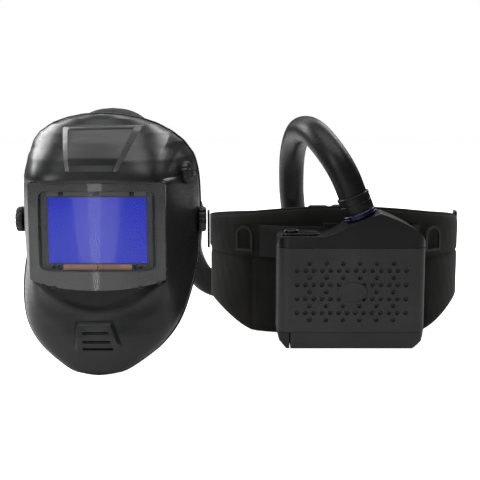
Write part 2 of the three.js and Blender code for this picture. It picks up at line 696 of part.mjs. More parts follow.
// stands a blade, drawn flat, along the fan axis and swings it to its place
function bladeFrame(k) {
  const lay = new THREE.Matrix4().makeRotationX(-Math.PI / 2);
  const lean = new THREE.Matrix4().makeTranslation(6, 0, 0)
    .multiply(new THREE.Matrix4().makeRotationY(0.5));
  const swing = new THREE.Matrix4().makeRotationY(2 * Math.PI * k / 10);
  const place = new THREE.Matrix4().makeTranslation(FAN.x, 0, FAN.z);
  return place.multiply(swing).multiply(lean).multiply(lay);
}

function fanMotor() {
  const back = new THREE.Vector3(0, 1, 0);
  const can = rod(new THREE.Vector3(FAN.x, 60.4, FAN.z), back, 6.6, 17, 24);
  const shaft = rod(new THREE.Vector3(FAN.x, 49, FAN.z), back, 12, 2, 12);
  return join(can, shaft);
}

function outletSpigot() {
  const tube = rod(along(OUTLET, OUTLET_AXIS, -20), OUTLET_AXIS, 42, 16, 24, 13.6);
  const flange = rod(along(OUTLET, OUTLET_AXIS, -12), OUTLET_AXIS, 3, 19, 24, 13.8);
  return join(tube, flange);
}

function controlPanel() {
  const plate = planPrism(roundedOutline(-93, -42, 12, 56, 8), 151.3, 153.3);
  const button = planPrism(roundedOutline(-90, -68, 22, 46, 10.5), 150, 160);
  return cut(plate, button);
}

function powerButton() {
  const cap = planPrism(roundedOutline(-89, -69, 23, 45, 9.5), 152.4, 156.6);
  const stem = block(-82, -76, 31, 37, 142, 153);
  return join(cap, stem);
}

function batteryCase() {
  const shape = outline([[-80.5, 0], [82, 0], [95, 9], [99, BATTERY_TOP], [-80.5, BATTERY_TOP]]);
  const outer = common(frontPrism(shape, 2, 68), roundedBox(BLOWER_HALF, 2, 68, -1, 30, 18));
  const bay = block(-76, 78, 6, 64, 2.4, BATTERY_TOP + 1);
  return cut(outer, bay);
}

function batteryLatch() {
  const shape = outline([[-86, 0], [-82, 0], [-82, BATTERY_TOP], [-99, BATTERY_TOP], [-95.5, 10]]);
  return common(frontPrism(shape, 2, 68), roundedBox(BLOWER_HALF, 2, 68, -1, 30, 18));
}

function beltClip() {
  const hook = outline([
    [70.3, 60], [73.3, 60], [73.3, 157], [77.2, 157], [77.2, 106], [79.4, 106],
    [79.4, 160], [70.3, 160],
  ]);
  return sidePrism(hook, -32, 48);
}

function buildBlower(group) {
  part(group, 'top_housing', topHousing(), HOUSING);
  part(group, 'rear_housing', rearHousing(), HOUSING_DARK);
  part(group, 'filter_cover', filterCover(), HOUSING);
  part(group, 'spark_arrestor', block(-83, 83, 3, 3.9, 27.5, 131.5), MESH_STEEL);
  part(group, 'prefilter', block(-84, 84, 4.4, 8.6, 30, 129), FILTER_WHITE);
  part(group, 'particle_filter', particleFilter(), FILTER_CASE);
  part(group, 'filter_seal', filterSeal(), SEAL_RUBBER);
  part(group, 'fan_scroll', fanScroll(), HOUSING_DARK);
  part(group, 'impeller', impeller(), TRIM_BLACK);
  part(group, 'fan_motor', fanMotor(), MOTOR_STEEL);
  part(group, 'circuit_board', block(-90, -58, 61, 62.6, 60, 128), BOARD_GREEN);
  part(group, 'outlet_spigot', outletSpigot(), HOUSING_DARK);
  part(group, 'lock_collar', rod(along(OUTLET, OUTLET_AXIS, -3), OUTLET_AXIS, 7, 22, 24, CUFF_BORE),
    COLLAR_BLUE);
  part(group, 'blower_cuff', rod(along(OUTLET, OUTLET_AXIS, 4.4), OUTLET_AXIS, 22.6, 21.5, 24,
    CUFF_BORE), HOSE_BLACK);
  part(group, 'control_panel', controlPanel(), TRIM_BLACK);
  part(group, 'power_button', powerButton(), HOUSING_DARK);
  part(group, 'indicator_window', planPrism(roundedOutline(-64, -45, 20, 46, 3), 153.6, 154.4),
    FILTER_CASE);
  part(group, 'battery_case', batteryCase(), HOUSING);
  part(group, 'battery_latch', batteryLatch(), HOUSING_DARK);
  part(group, 'battery_cells', block(-73, 75, 8, 62, 2.7, 21.4), CELL_WRAP);
  part(group, 'belt_clip', beltClip(), HOUSING_DARK);
}

// ---------------------------------------------------------------- belt
// the belt's plan line: angle 0 is the middle of the front, 180 the middle of the back
function loopPoint(angle, offset = 0) {
  const a = THREE.MathUtils.degToRad(angle);
  const front = Math.cos(a) > 0;
  const p = front ? LOOP.frontPower : LOOP.rearPower;
  const depth = front ? LOOP.front : LOOP.rear;
  const at = (t) => new THREE.Vector2(LOOP.half * power(Math.sin(t), 2 / p),
    LOOP.y - depth * power(Math.cos(t), 2 / p));
  const here = at(a);
  const tangent = at(a + 0.001).sub(at(a - 0.001)).normalize();
  return new THREE.Vector2(here.x + tangent.y * offset, here.y - tangent.x * offset);
}

function webStrip(angles, offset, thickness, low, high) {
  const near = angles.map((a) => loopPoint(a, offset).toArray());
  const far = angles.map((a) => loopPoint(a, offset + thickness).toArray()).reverse();
  return planPrism(outline([...near, ...far]), low, high);
}

function range(from, to, steps) {
  return Array.from({ length: steps + 1 }, (_, i) => from + (to - from) * i / steps);
}

function padLow(x) {
  return 46 * smooth((Math.abs(x) - 104) / 100) ** 1.2;
}

function padHigh(x) {
  const t = Math.abs(x) / LOOP.half;
  return 180 - 22 * t * t - 16 * smooth((Math.abs(x) - 170) / 30);
}

function backPad() {
  const angles = range(-75, 75, 30);
  const side = (offset) => range(0, 1, 4).map((v) => angles.map((a) => {
    const p = loopPoint(a, offset);
    return new THREE.Vector3(p.x, p.y, padLow(p.x) + (padHigh(p.x) - padLow(p.x)) * v);
  }));
  return thickSheet(side(PAD_THICKNESS / 2), side(-PAD_THICKNESS / 2));
}

function frontWebbing() {
  const path = [[-112, 92.5], [-96, 86.5], [-78, 79.5], [-60, 74.4], [60, 74.4], [78, 79.5],
    [96, 86.5], [112, 92.5]];
  const near = path.map(([x, y]) => [x, y]);
  const far = path.map(([x, y]) => [x, y + WEB_THICKNESS]).reverse();
  return planPrism(outline([...near, ...far]), WEB_LOW, WEB_HIGH);
}

// an arch-topped loop that holds the webbing where it leaves the pad's sleeve
function webOutlet(side) {
  const shape = new THREE.Shape();
  shape.moveTo(-14, -8);
  shape.lineTo(14, -8);
  shape.lineTo(14, 14);
  shape.absarc(0, 14, 14, 0, Math.PI, false);
  const hole = new THREE.Path();
  hole.moveTo(-10.5, -4.5);
  hole.lineTo(10.5, -4.5);
  hole.lineTo(10.5, 14);
  hole.absarc(0, 14, 10.5, 0, Math.PI, false);
  shape.holes.push(hole);
  const frame = frontPrism(shape, -3, 0, 6);
  const at = loopPoint(OUTLET_ANGLE * side, PAD_THICKNESS / 2 + 3.5);
  const next = loopPoint((OUTLET_ANGLE + 1) * side, PAD_THICKNESS / 2 + 3.5);
  const heading = side > 0 ? next.sub(at) : at.clone().sub(next);
  return frame.rotateZ(Math.atan2(heading.y, heading.x)).translate(at.x, at.y, 124);
}

const OUTLET_ANGLE = 40;
const BUCKLE_Y = LOOP.y + LOOP.rear;

function buckleFemale() {
  const body = frontPrism(roundedOutline(2, 46, 102, 163, 8), BUCKLE_Y - 7, BUCKLE_Y + 7);
  const pocket = block(0, 36, BUCKLE_Y - 4, BUCKLE_Y + 4, 108, 157);
  const slot = block(38, 42.5, BUCKLE_Y - 8, BUCKLE_Y + 8, WEB_LOW - 2, WEB_HIGH + 2);
  const webbingWay = block(36, 50, BUCKLE_Y - 2, BUCKLE_Y + 8, 90, 170);
  return cut(body, pocket, slot, webbingWay);
}

function buckleMale() {
  const body = frontPrism(roundedOutline(-34, 0, 102, 163, 6), BUCKLE_Y - 7, BUCKLE_Y - 2.5);
  const slots = [[-30, -24], [-20, -14]].map(([x0, x1]) => block(x0, x1, BUCKLE_Y - 9, BUCKLE_Y,
    WEB_LOW - 2, WEB_HIGH + 2));
  const root = block(-6, 0, BUCKLE_Y - 3, BUCKLE_Y + 3, 108.6, 156.4);
  const prongs = [[109, 119], [127.5, 137.5], [146, 156]].map(([z0, z1]) => block(
    -1, 33, BUCKLE_Y - 3, BUCKLE_Y + 3, z0, z1));
  return join(cut(body, ...slots), root, ...prongs);
}

function webSlider(side) {
  const frame = frontPrism(roundedOutline(-9, 9, 104, 161, 4), -5, -1.2);
  const slots = [[-6.5, -2], [2, 6.5]].map(([x0, x1]) => block(x0, x1, -8, 4, 108, 157));
  const body = cut(frame, ...slots);
  const angle = SLIDER_ANGLE * side;
  const at = loopPoint(angle);
  const next = loopPoint(angle + 0.5);
  const heading = next.sub(at);
  return body.rotateZ(Math.atan2(heading.y, heading.x)).translate(at.x, at.y, 0);
}

const SLIDER_ANGLE = 88;

function buildBelt(group) {
  part(group, 'back_pad', backPad(), CLOTH);
  part(group, 'webbing_front', frontWebbing(), WEBBING);
  for (const [side, label] of [[-1, 'left'], [1, 'right']]) {
    part(group, `web_outlet_${label}`, webOutlet(side), TRIM_BLACK);
    part(group, `web_slider_${label}`, webSlider(side), TRIM_BLACK);
  }
  const turn = [76, 82, 88, 92, 98, 104, 110, 118, 126, 134, 142, 150, 158, 166];
  part(group, 'webbing_right', webStrip([...turn, 171], -1, WEB_THICKNESS, WEB_LOW, WEB_HIGH),
    WEBBING);
  part(group, 'webbing_left', webStrip([...turn, 174].map((a) => -a).reverse(), -1,
    WEB_THICKNESS, WEB_LOW, WEB_HIGH), WEBBING);
  part(group, 'buckle_female', buckleFemale(), TRIM_BLACK);
  part(group, 'buckle_male', buckleMale(), TRIM_BLACK);
}

// ---------------------------------------------------------------- the whole set
const respirator = new THREE.Group();
const builders = [[HELMET, buildHelmet], [BLOWER, buildBlower], [BELT, buildBelt]];
for (const [place, build] of builders) {
  const group = new THREE.Group();
  group.position.copy(place);
  build(group);
  respirator.add(group);
}
part(respirator, 'hose_tube', hoseTube(), HOSE_BLACK);

export default respirator;
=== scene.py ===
"""Looks of a powered air respirator: flip-up welding helmet, breathing hose, blower and belt.

Lengths in the tables are millimetres in the place of their group (helmet, blower or belt),
and every Blender object is in metres in the row frame.
"""
import math

import bmesh
import bpy
import numpy as np
from mathutils import Matrix, Vector


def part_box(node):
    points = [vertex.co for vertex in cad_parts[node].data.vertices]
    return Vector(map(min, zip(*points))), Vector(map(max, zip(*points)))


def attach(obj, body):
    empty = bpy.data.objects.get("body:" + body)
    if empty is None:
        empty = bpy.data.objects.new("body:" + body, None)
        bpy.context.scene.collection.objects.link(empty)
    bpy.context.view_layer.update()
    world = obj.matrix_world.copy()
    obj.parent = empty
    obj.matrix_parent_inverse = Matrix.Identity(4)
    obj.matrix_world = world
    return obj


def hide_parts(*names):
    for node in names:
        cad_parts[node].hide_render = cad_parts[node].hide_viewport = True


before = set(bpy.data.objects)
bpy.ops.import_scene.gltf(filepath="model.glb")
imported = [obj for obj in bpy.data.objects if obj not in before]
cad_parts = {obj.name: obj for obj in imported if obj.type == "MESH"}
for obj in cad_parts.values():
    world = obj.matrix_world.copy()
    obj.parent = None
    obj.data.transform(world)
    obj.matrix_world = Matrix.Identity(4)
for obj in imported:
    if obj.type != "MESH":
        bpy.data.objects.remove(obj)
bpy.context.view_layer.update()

MM = 0.001
HELMET = Vector((-186, -52, 172))
BLOWER = Vector((133, -76, 0))
BELT = Vector((125, -76, 0))
COLLECTION = bpy.context.scene.collection


# ------------------------------------------------------------------ camera
def make_camera():
    camera = bpy.data.objects.new("camera", bpy.data.cameras.new("camera"))
    COLLECTION.objects.link(camera)
    camera.location = (-0.015, -1.376, 0.340)
    camera.rotation_euler = (math.radians(90 - 8.44), 0, 0)
    camera.data.lens = 75
    camera.data.sensor_width = 36
    bpy.context.scene.camera = camera


make_camera()

# ------------------------------------------------------------------ hose route
HOSE_ROUTE = [
    (136, -41, 203), (126.5, -40, 226), (114, -31, 249), (91, 10, 280), (77, 70, 286),
    (70, 131, 273), (66, 181, 239), (67, 214, 187), (72, 243, 133), (65, 257, 79),
    (28, 255, 36), (-22, 240, 22), (-69, 216, 38), (-93, 187, 85), (-92, 156, 134),
    (-89, 133, 158), (-93, 110, 176), (-106, 92.4, 190),
]
HOSE_RADIUS = 19.5


def hermite(t):
    """Weights of start, start tangent, end and end tangent."""
    return (2 * t**3 - 3 * t**2 + 1, t**3 - 2 * t**2 + t, -2 * t**3 + 3 * t**2, t**3 - t**2)


def spline_through(points, per_span):
    """Centripetal Catmull-Rom through the points, as the CAD hose follows."""
    pts = [Vector(p) for p in points]
    pts = [pts[0] * 2 - pts[1]] + pts + [pts[-1] * 2 - pts[-2]]
    out = []
    for i in range(1, len(pts) - 2):
        p0, p1, p2, p3 = pts[i - 1:i + 3]
        t01 = max((p1 - p0).length ** 0.5, 1e-4)
        t12 = max((p2 - p1).length ** 0.5, 1e-4)
        t23 = max((p3 - p2).length ** 0.5, 1e-4)
        m1 = ((p1 - p0) / t01 - (p2 - p0) / (t01 + t12) + (p2 - p1) / t12) * t12
        m2 = ((p2 - p1) / t12 - (p3 - p1) / (t12 + t23) + (p3 - p2) / t23) * t12
        for k in range(per_span):
            h = hermite(k / per_span)
            out.append(p1 * h[0] + m1 * h[1] + p2 * h[2] + m2 * h[3])
    out.append(pts[-2])
    return out


def even_steps(line, step):
    """The same line with points an even step apart."""
    lengths = [0.0]
    for a, b in zip(line, line[1:]):
        lengths.append(lengths[-1] + (b - a).length)
    count = max(2, round(lengths[-1] / step))
    out = []
    j = 0
    for i in range(count + 1):
        want = lengths[-1] * i / count
        while j < len(line) - 2 and lengths[j + 1] < want:
            j += 1
        span = max(lengths[j + 1] - lengths[j], 1e-9)
        out.append(line[j].lerp(line[j + 1], (want - lengths[j]) / span))
    return out, lengths[-1]


# ------------------------------------------------------------------ materials
def new_material(name):
    material = bpy.data.materials.new(name)
    material.use_nodes = True
    tree = material.node_tree
    shader = tree.nodes["Principled BSDF"]
    return material, tree, shader


def set_inputs(made, values):
    for socket, value in values.items():
        made.inputs[socket].default_value = value


def add_node(tree, kind, values, links=()):
    """A node with its constants, and links from outputs given as (input, source)."""
    made = tree.nodes.new(kind)
    set_inputs(made, values)
    for socket, source in links:
        tree.links.new(source, made.inputs[socket])
    return made


def object_place(tree):
    return tree.nodes.new("ShaderNodeTexCoord").outputs["Object"]


def noise_of(tree, scale, detail=4, stretch=None):
    place = object_place(tree)
    if stretch:
        mapping = add_node(tree, "ShaderNodeMapping", {"Scale": stretch}, [("Vector", place)])
        place = mapping.outputs["Vector"]
    return add_node(tree, "ShaderNodeTexNoise", {"Scale": scale, "Detail": detail},
                    [("Vector", place)]).outputs["Fac"]


def ramp_of(tree, source, low, high, dark, light):
    ramp = add_node(tree, "ShaderNodeValToRGB", {}, [("Fac", source)])
    for element, place, color in zip(ramp.color_ramp.elements, (low, high), (dark, light)):
        element.position = place
        element.color = (*color, 1)
    return ramp.outputs["Color"]


def range_of(tree, source, low, high, to_low, to_high):
    ends = {"From Min": low, "From Max": high, "To Min": to_low, "To Max": to_high}
    return add_node(tree, "ShaderNodeMapRange", ends, [("Value", source)]).outputs["Result"]


def bump_of(tree, shader, height, strength, distance, under=None):
    links = [("Height", height)] + ([("Normal", under)] if under else [])
    bump = add_node(tree, "ShaderNodeBump", {"Strength": strength, "Distance": distance}, links)
    tree.links.new(bump.outputs["Normal"], shader.inputs["Normal"])
    return bump.outputs["Normal"]


def color_and_gloss(tree, shader, tone, rough=None):
    """Links a colour, and a roughness if one is given, to a shader."""
    tree.links.new(tone, shader.inputs["Base Color"])
    if rough:
        tree.links.new(rough, shader.inputs["Roughness"])


def scaled(color, factor):
    return tuple(min(1.0, c * factor) for c in color)


def plastic(name, color, roughness, grain=1500, depth=0.25, specular=0.4, coat=0.0, wear=1.25):
    """Moulded plastic: fine spark grain, uneven gloss, and faint handling marks."""
    material, tree, shader = new_material(name)
    cloud = noise_of(tree, 14, 3)
    fine = noise_of(tree, grain, 2)
    streaks = noise_of(tree, 60, 3, (1, 1, 6))
    tone = ramp_of(tree, cloud, 0.3, 0.7, scaled(color, 0.86), scaled(color, wear))
    rough = range_of(tree, streaks, 0.3, 0.7, roughness - 0.05, roughness + 0.07)
    color_and_gloss(tree, shader, tone, rough)
    bump_of(tree, shader, fine, depth, 0.0002)
    set_inputs(shader, {"Specular IOR Level": specular, "Coat Weight": coat,
                        "Coat Roughness": 0.03 if coat > 0.5 else 0.12})
    return material


def paint_recess_shade(material):
    """Paints shade into a shell skin: darker and rougher in the hollow between the window and the arc
    below it.
    """
    tree = material.node_tree
    shader = tree.nodes["Principled BSDF"]
    split = add_node(tree, "ShaderNodeSeparateXYZ", {}, [("Vector", object_place(tree))])

    def math_node(operation, first, second):
        made = tree.nodes.new("ShaderNodeMath")
        made.operation = operation
        for slot, value in zip(made.inputs, (first, second)):
            if isinstance(value, float):
                slot.default_value = value
            else:
                tree.links.new(value, slot)
        return made.outputs["Value"]

    across = math_node("SUBTRACT", split.outputs["X"], HELMET.x * MM)
    height = math_node("SUBTRACT", split.outputs["Z"], HELMET.z * MM)
    bow = math_node("MULTIPLY", math_node("MULTIPLY", across, across), 5.6)
    over = math_node("SUBTRACT", height, math_node("ADD", bow, -0.099))
    inside = math_node("MULTIPLY", range_of(tree, over, 0, 0.006, 0, 1),
                       range_of(tree, height, -0.060, -0.057, 1, 0))
    # painted shade: the colour drops to 0.35 of itself inside the hollow below the window
    gain = range_of(tree, inside, 0, 1, 1, 0.35)
    for name in ("Base Color", "Roughness"):
        link = shader.inputs[name].links[0]
        source = link.from_socket
        if name == "Roughness":
            lift = range_of(tree, inside, 0, 1, 0, 0.3)
            tree.links.new(math_node("ADD", source, lift), shader.inputs[name])
        else:
            mix = add_node(tree, "ShaderNodeVectorMath", {}, [(0, source)])
            mix.operation = "SCALE"
            tree.links.new(gain, mix.inputs["Scale"])
            tree.links.new(mix.outputs["Vector"], shader.inputs[name])
    return material


def wave_of(tree, axis, spacing, distortion=0.0):
    """Stripes across one axis, a spacing in metres apart."""
    scale = math.pi / 10 / spacing
    made = add_node(tree, "ShaderNodeTexWave",
                    {"Scale": scale, "Distortion": distortion, "Detail Scale": 3},
                    [("Vector", object_place(tree))])
    made.bands_direction = axis
    return made.outputs["Fac"]


def product(tree, first, second, operation="MULTIPLY"):
    made = add_node(tree, "ShaderNodeMath", {}, [(0, first), (1, second)])
    made.operation = operation
    return made.outputs["Value"]


def cloth(name, color, thread=0.0011, depth=0.5, sheen=0.25, across="X"):
    """Woven cloth: crossed threads, uneven dye, lint bumps and painted shade between the threads."""
    material, tree, shader = new_material(name)
    warp = wave_of(tree, across, thread, 0.6)
    weft = wave_of(tree, "Z", thread, 0.6)
    weave = product(tree, warp, weft)
    cloud = noise_of(tree, 22, 5)
    tone = ramp_of(tree, cloud, 0.3, 0.72, scaled(color, 0.7), scaled(color, 1.5))
    # painted shade: the colour darkens to 0.35 in the gaps between threads
    weave_shade = ramp_of(tree, weave, 0.0, 0.6, (0.35, 0.35, 0.35), (1, 1, 1))
    mix = add_node(tree, "ShaderNodeMixRGB", {"Fac": 0.55}, [("Color1", tone), ("Color2", weave_shade)])
    mix.blend_type = "MULTIPLY"
    color_and_gloss(tree, shader, mix.outputs["Color"])
    lint = noise_of(tree, 900, 2)
    under = bump_of(tree, shader, lint, 0.3, 0.0003)
    bump_of(tree, shader, weave, depth, 0.0004, under)
    set_inputs(shader, {"Roughness": 0.85, "Specular IOR Level": 0.2, "Sheen Weight": sheen,
                        "Sheen Roughness": 0.5})
    return material


def band_weave(name, color):
    """Belt webbing: thick ribs along the strap with a fine cross thread."""
    material, tree, shader = new_material(name)
    ribs = wave_of(tree, "Z", 0.0018)
    threads = wave_of(tree, "X", 0.0009, 0.5)
    weave = product(tree, ribs, threads, "ADD")
    cloud = noise_of(tree, 30, 4)
    tone = ramp_of(tree, cloud, 0.3, 0.7, scaled(color, 0.75), scaled(color, 1.5))
    color_and_gloss(tree, shader, tone)
    bump_of(tree, shader, weave, 0.7, 0.0005)
    set_inputs(shader, {"Roughness": 0.72, "Specular IOR Level": 0.3, "Sheen Weight": 0.15})
    return material


def lens_glass(name, tint, roughness=0.02, alpha=0.16):
    """Clear visor sheet: mostly see-through, with rub marks that catch the light."""
    material, tree, shader = new_material(name)
    rub = noise_of(tree, 40, 6, (1, 1, 3))
    rough = range_of(tree, rub, 0.45, 0.75, roughness, roughness + 0.01)
    tone = ramp_of(tree, rub, 0.3, 0.8, scaled(tint, 0.94), tint)
    color_and_gloss(tree, shader, tone, rough)
    set_inputs(shader, {"Alpha": alpha, "Specular IOR Level": 1.0, "Coat Weight": 1.0,
                        "Coat Roughness": 0.0})
    return material


def filter_glass_glow_look():
    """Deep blue coated filter with a slow change of hue across it and a painted blue glow."""
    material, tree, shader = new_material("filter_blue_glass_painted_glow")
    cloud = noise_of(tree, 9, 2)
    tone = ramp_of(tree, cloud, 0.25, 0.75, (0.006, 0.012, 0.26),
                   (0.010, 0.018, 0.34))
    color_and_gloss(tree, shader, tone, range_of(tree, cloud, 0.3, 0.7, 0.07, 0.12))
    # painted glow: the blue emission lights the filter from within
    set_inputs(shader, {"Emission Color": (0.02, 0.036, 0.5, 1), "Emission Strength": 0.5,
                        "Specular IOR Level": 0.25, "Coat Weight": 0.25, "Coat Roughness": 0.0})
    return material


def solar_look():
    """Copper brown cells with fine collector lines."""
    material, tree, shader = new_material("solar_cells")
    lines = wave_of(tree, "X", 0.0016)
    cloud = noise_of(tree, 60, 4)
    tone = ramp_of(tree, cloud, 0.3, 0.7, (0.34, 0.17, 0.10), (0.52, 0.29, 0.19))
    sharp = ramp_of(tree, lines, 0.86, 0.95, (0, 0, 0), (0.6, 0.6, 0.6))
    mix = add_node(tree, "ShaderNodeMixRGB", {"Color2": (0.10, 0.045, 0.03, 1)},
                   [("Fac", sharp), ("Color1", tone)])
    color_and_gloss(tree, shader, mix.outputs["Color"])
    set_inputs(shader, {"Roughness": 0.3})
    return material


def metal_look(name, color, roughness, stretch):
    material, tree, shader = new_material(name)
    brushed = noise_of(tree, 120, 4, stretch)
    tone = ramp_of(tree, brushed, 0.3, 0.7, scaled(color, 0.75), color)
    rough = range_of(tree, brushed, 0.3, 0.7, roughness - 0.06, roughness + 0.1)
    color_and_gloss(tree, shader, tone, rough)
    set_inputs(shader, {"Metallic": 1})
    bump_of(tree, shader, brushed, 0.15, 0.0002)
    return material


def mesh_look():
    """Fine woven steel: holes read as dark between bright wires."""
    material, tree, shader = new_material("steel_mesh")
    weave = product(tree, wave_of(tree, "X", 0.0012), wave_of(tree, "Z", 0.0012), "MAXIMUM")
    tone = ramp_of(tree, weave, 0.5, 0.85, (0.004, 0.004, 0.004), (0.08, 0.08, 0.08))
    color_and_gloss(tree, shader, tone)
    bump_of(tree, shader, weave, 0.6, 0.0004)
    set_inputs(shader, {"Metallic": 0.6, "Roughness": 0.55})
    return material


SHELL = plastic("shell_satin_black", (0.014, 0.0142, 0.0146), 0.33, 1300, 0.2, 0.30, 0.05)
# shell skin with painted shade in the hollow below the window
SHELL_RECESS_SHADED = paint_recess_shade(plastic("shell_black_painted_recess_shade", (0.014, 0.0142, 0.0146), 0.33, 1300, 0.2,
                                   0.30, 0.05))
# painted highlight: a paler grey for the forehead panel's side bevels
EDGE_HIGHLIGHT = plastic("shell_edge_painted_highlight", (0.085, 0.085, 0.086), 0.38, 1300, 0.22, 0.4, 0.05)
SHELL_TRIM = plastic("shell_gloss_trim", (0.005, 0.005, 0.0055), 0.25, 1800, 0.1, 0.3, 0.1)
FRAME_BLACK = plastic("window_frame_black", (0.046, 0.046, 0.046), 0.36, 1800, 0.04, 0.3, 0.6)
FRAME_GREY = plastic("cartridge_grey", (0.040, 0.041, 0.040), 0.45, 1800, 0.2, 0.35)
FRAME_BLOCK = plastic("cartridge_block_grey", (0.085, 0.086, 0.086), 0.5, 1800, 0.2, 0.35)
DUCT_BLACK = plastic("duct_matt_black", (0.007, 0.007, 0.0072), 0.5, 1300, 0.2, 0.14)
BLACK = plastic("black_moulding", (0.010, 0.010, 0.011), 0.40, 1500, 0.25, 0.4)
DEEP_BLACK = plastic("deep_black", (0.003, 0.003, 0.003), 0.7, 900, 0.2, 0.1)
HOUSING = plastic("housing_charcoal", (0.025, 0.0252, 0.026), 0.46, 1100, 0.4, 0.24)
HOUSING_TOP = plastic("housing_top_black", (0.0065, 0.0065, 0.0068), 0.34, 1500, 0.12, 0.22, 0.0)
HOUSING_DARK = plastic("housing_dark", (0.012, 0.012, 0.0128), 0.46, 1100, 0.3, 0.24)
PANEL = plastic("panel_gloss", (0.006, 0.006, 0.008), 0.28, 2000, 0.05, 0.3)
HOSE_SKIN = plastic("hose_skin", (0.008, 0.008, 0.0084), 0.38, 700, 0.12, 0.20)
COLLAR = plastic("collar_navy", (0.007, 0.006, 0.050), 0.30, 1500, 0.1, 0.3, 0.1)
PAD_CLOTH = cloth("pad_cloth", (0.0130, 0.0126, 0.0105), 0.0012, 0.5, 0.10)
PIPING = cloth("piping_cloth", (0.008, 0.008, 0.007), 0.0007, 0.4, 0.06)
SEAL_CLOTH = cloth("seal_cloth", (0.014, 0.014, 0.015), 0.0009, 0.4, 0.3)
FOAM_CLOTH = cloth("sweatband_cloth", (0.02, 0.02, 0.021), 0.0008, 0.5, 0.35)
WEBBING = band_weave("webbing_black", (0.008, 0.008, 0.0085))
CLEAR = lens_glass("cover_lens_clear", (0.010, 0.011, 0.012), 0.02, 0.06)
CLEAR_INNER = lens_glass("inner_lens_clear", (0.01, 0.011, 0.012), 0.02, 0.1)
FILTER_BLUE_GLOW = filter_glass_glow_look()
SOLAR = solar_look()
STEEL = metal_look("drawn_steel", (0.55, 0.55, 0.56), 0.3, (1, 8, 1))
MESH_STEEL = mesh_look()
FLEECE = cloth("filter_fleece", (0.62, 0.62, 0.6), 0.002, 0.3, 0.2)
RUBBER = plastic("seal_rubber", (0.012, 0.012, 0.012), 0.75, 500, 0.3, 0.2)
BOARD = plastic("board_green", (0.02, 0.12, 0.05), 0.35, 300, 0.1, 0.5)
WRAP = plastic("cell_wrap", (0.03, 0.16, 0.26), 0.3, 300, 0.1, 0.5)
STITCH = plastic("stitch_thread", (0.020, 0.020, 0.018), 0.7, 2500, 0.4, 0.2)

LOOK_GROUPS = [
    (CLEAR, "cover_lens"),
    (CLEAR_INNER, "inner_lens"),
    (SHELL_TRIM, "lens_bezel"),
    (BLACK, "cartridge_holder shade_knob headband band_tail_left "
            "band_tail_right ratchet_housing ratchet_knob crown_strap "
            "pivot_bracket_left pivot_bracket_right pivot_bolt_left "
            "pivot_bolt_right pivot_knob_left pivot_knob_right impeller "
            "web_outlet_left web_outlet_right web_slider_left "
            "web_slider_right buckle_female buckle_male"),
    (FRAME_GREY, "filter_cartridge"),
    (FILTER_BLUE_GLOW, "filter_glass"),
    (SOLAR, "solar_panel"),
    (SEAL_CLOTH, "face_seal"),
    (FOAM_CLOTH, "sweatband nape_pad"),
    (SHELL, "air_duct helmet_shell"),
    (HOUSING_DARK, "air_diffuser hose_inlet rear_housing fan_scroll "
                   "outlet_spigot battery_latch belt_clip"),
    (HOSE_SKIN, "helmet_cuff blower_cuff hose_tube"),
    (HOUSING_TOP, "top_housing"),
    (HOUSING, "filter_cover battery_case"),
    (MESH_STEEL, "spark_arrestor"),
    (FLEECE, "prefilter particle_filter"),
    (RUBBER, "filter_seal"),
    (STEEL, "fan_motor"),
    (BOARD, "circuit_board"),
    (COLLAR, "lock_collar"),
    (PANEL, "control_panel power_button indicator_window"),
    (WRAP, "battery_cells"),
    (PAD_CLOTH, "back_pad"),
    (WEBBING, "webbing_front webbing_left webbing_right"),
]
NODE_LOOKS = {name: look for look, names in LOOK_GROUPS for name in names.split()}


# ------------------------------------------------------------------ mesh helpers
def grid_faces(rows, cols, wrap_rows=False, wrap_cols=False, base=0):
    """The quads of a grid of points, closed on itself either way if asked."""
    faces = []
    for i in range(rows if wrap_rows else rows - 1):
        a, b = base + i * cols, base + (i + 1) % rows * cols
        for k in range(cols if wrap_cols else cols - 1):
            m = (k + 1) % cols
            faces.append((a + k, a + m, b + m, b + k))
    return faces


def end_caps(rows, cols):
    return [tuple(range(cols)), tuple((rows - 1) * cols + k for k in reversed(range(cols)))]


def signed_power(value, exponent):
    return math.copysign(abs(value) ** exponent, value)


def ellipse(across, up, count, centre=(0, 0)):
    turns = [2 * math.pi * k / count for k in range(count)]
    return [(centre[0] + across * math.cos(a), centre[1] + up * math.sin(a)) for a in turns]


def add_mesh(name, verts, faces, material, body, smooth=40):
    """A piece from points in millimetres of the row frame."""
    return finish_mesh(name, mesh_of(name, verts, faces), material, body, smooth)


def mesh_of(name, verts, faces):
    mesh = bpy.data.meshes.new(name)
    mesh.from_pydata([tuple(Vector(v) * MM) for v in verts], [], faces)
    return mesh


def finish_mesh(name, mesh, material, body, smooth=40):
    work = bmesh.new()
    work.from_mesh(mesh)
    bmesh.ops.remove_doubles(work, verts=work.verts, dist=2e-6)
    bmesh.ops.recalc_face_normals(work, faces=work.faces)
    work.to_mesh(mesh)
    work.free()
    shade(mesh, smooth)
    piece = bpy.data.objects.new(name, mesh)
    COLLECTION.objects.link(piece)
    mesh.materials.append(material)
    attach(piece, body)
    return piece


def claim(cad):
    """Hides the CAD node that a piece stands for."""
    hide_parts(cad)


def shade(mesh, angle):
    mesh.polygons.foreach_set("use_smooth", [True] * len(mesh.polygons))
    mesh.set_sharp_from_angle(angle=math.radians(angle))


def add_modifier(piece, kind, **settings):
    made = piece.modifiers.new(kind.lower(), kind)
    for key, value in settings.items():
        setattr(made, key, value)
    return made


def bevelled(piece, width, segments=3, angle=35):
    add_modifier(piece, "BEVEL", width=width * MM, segments=segments, limit_method="ANGLE",
                 angle_limit=math.radians(angle), harden_normals=False)
    return piece


def settle(piece):
    """Applies a piece's modifiers to its mesh."""
    graph = bpy.context.evaluated_depsgraph_get()
    mesh = bpy.data.meshes.new_from_object(piece.evaluated_get(graph))
    piece.modifiers.clear()
    piece.data = mesh
    return piece


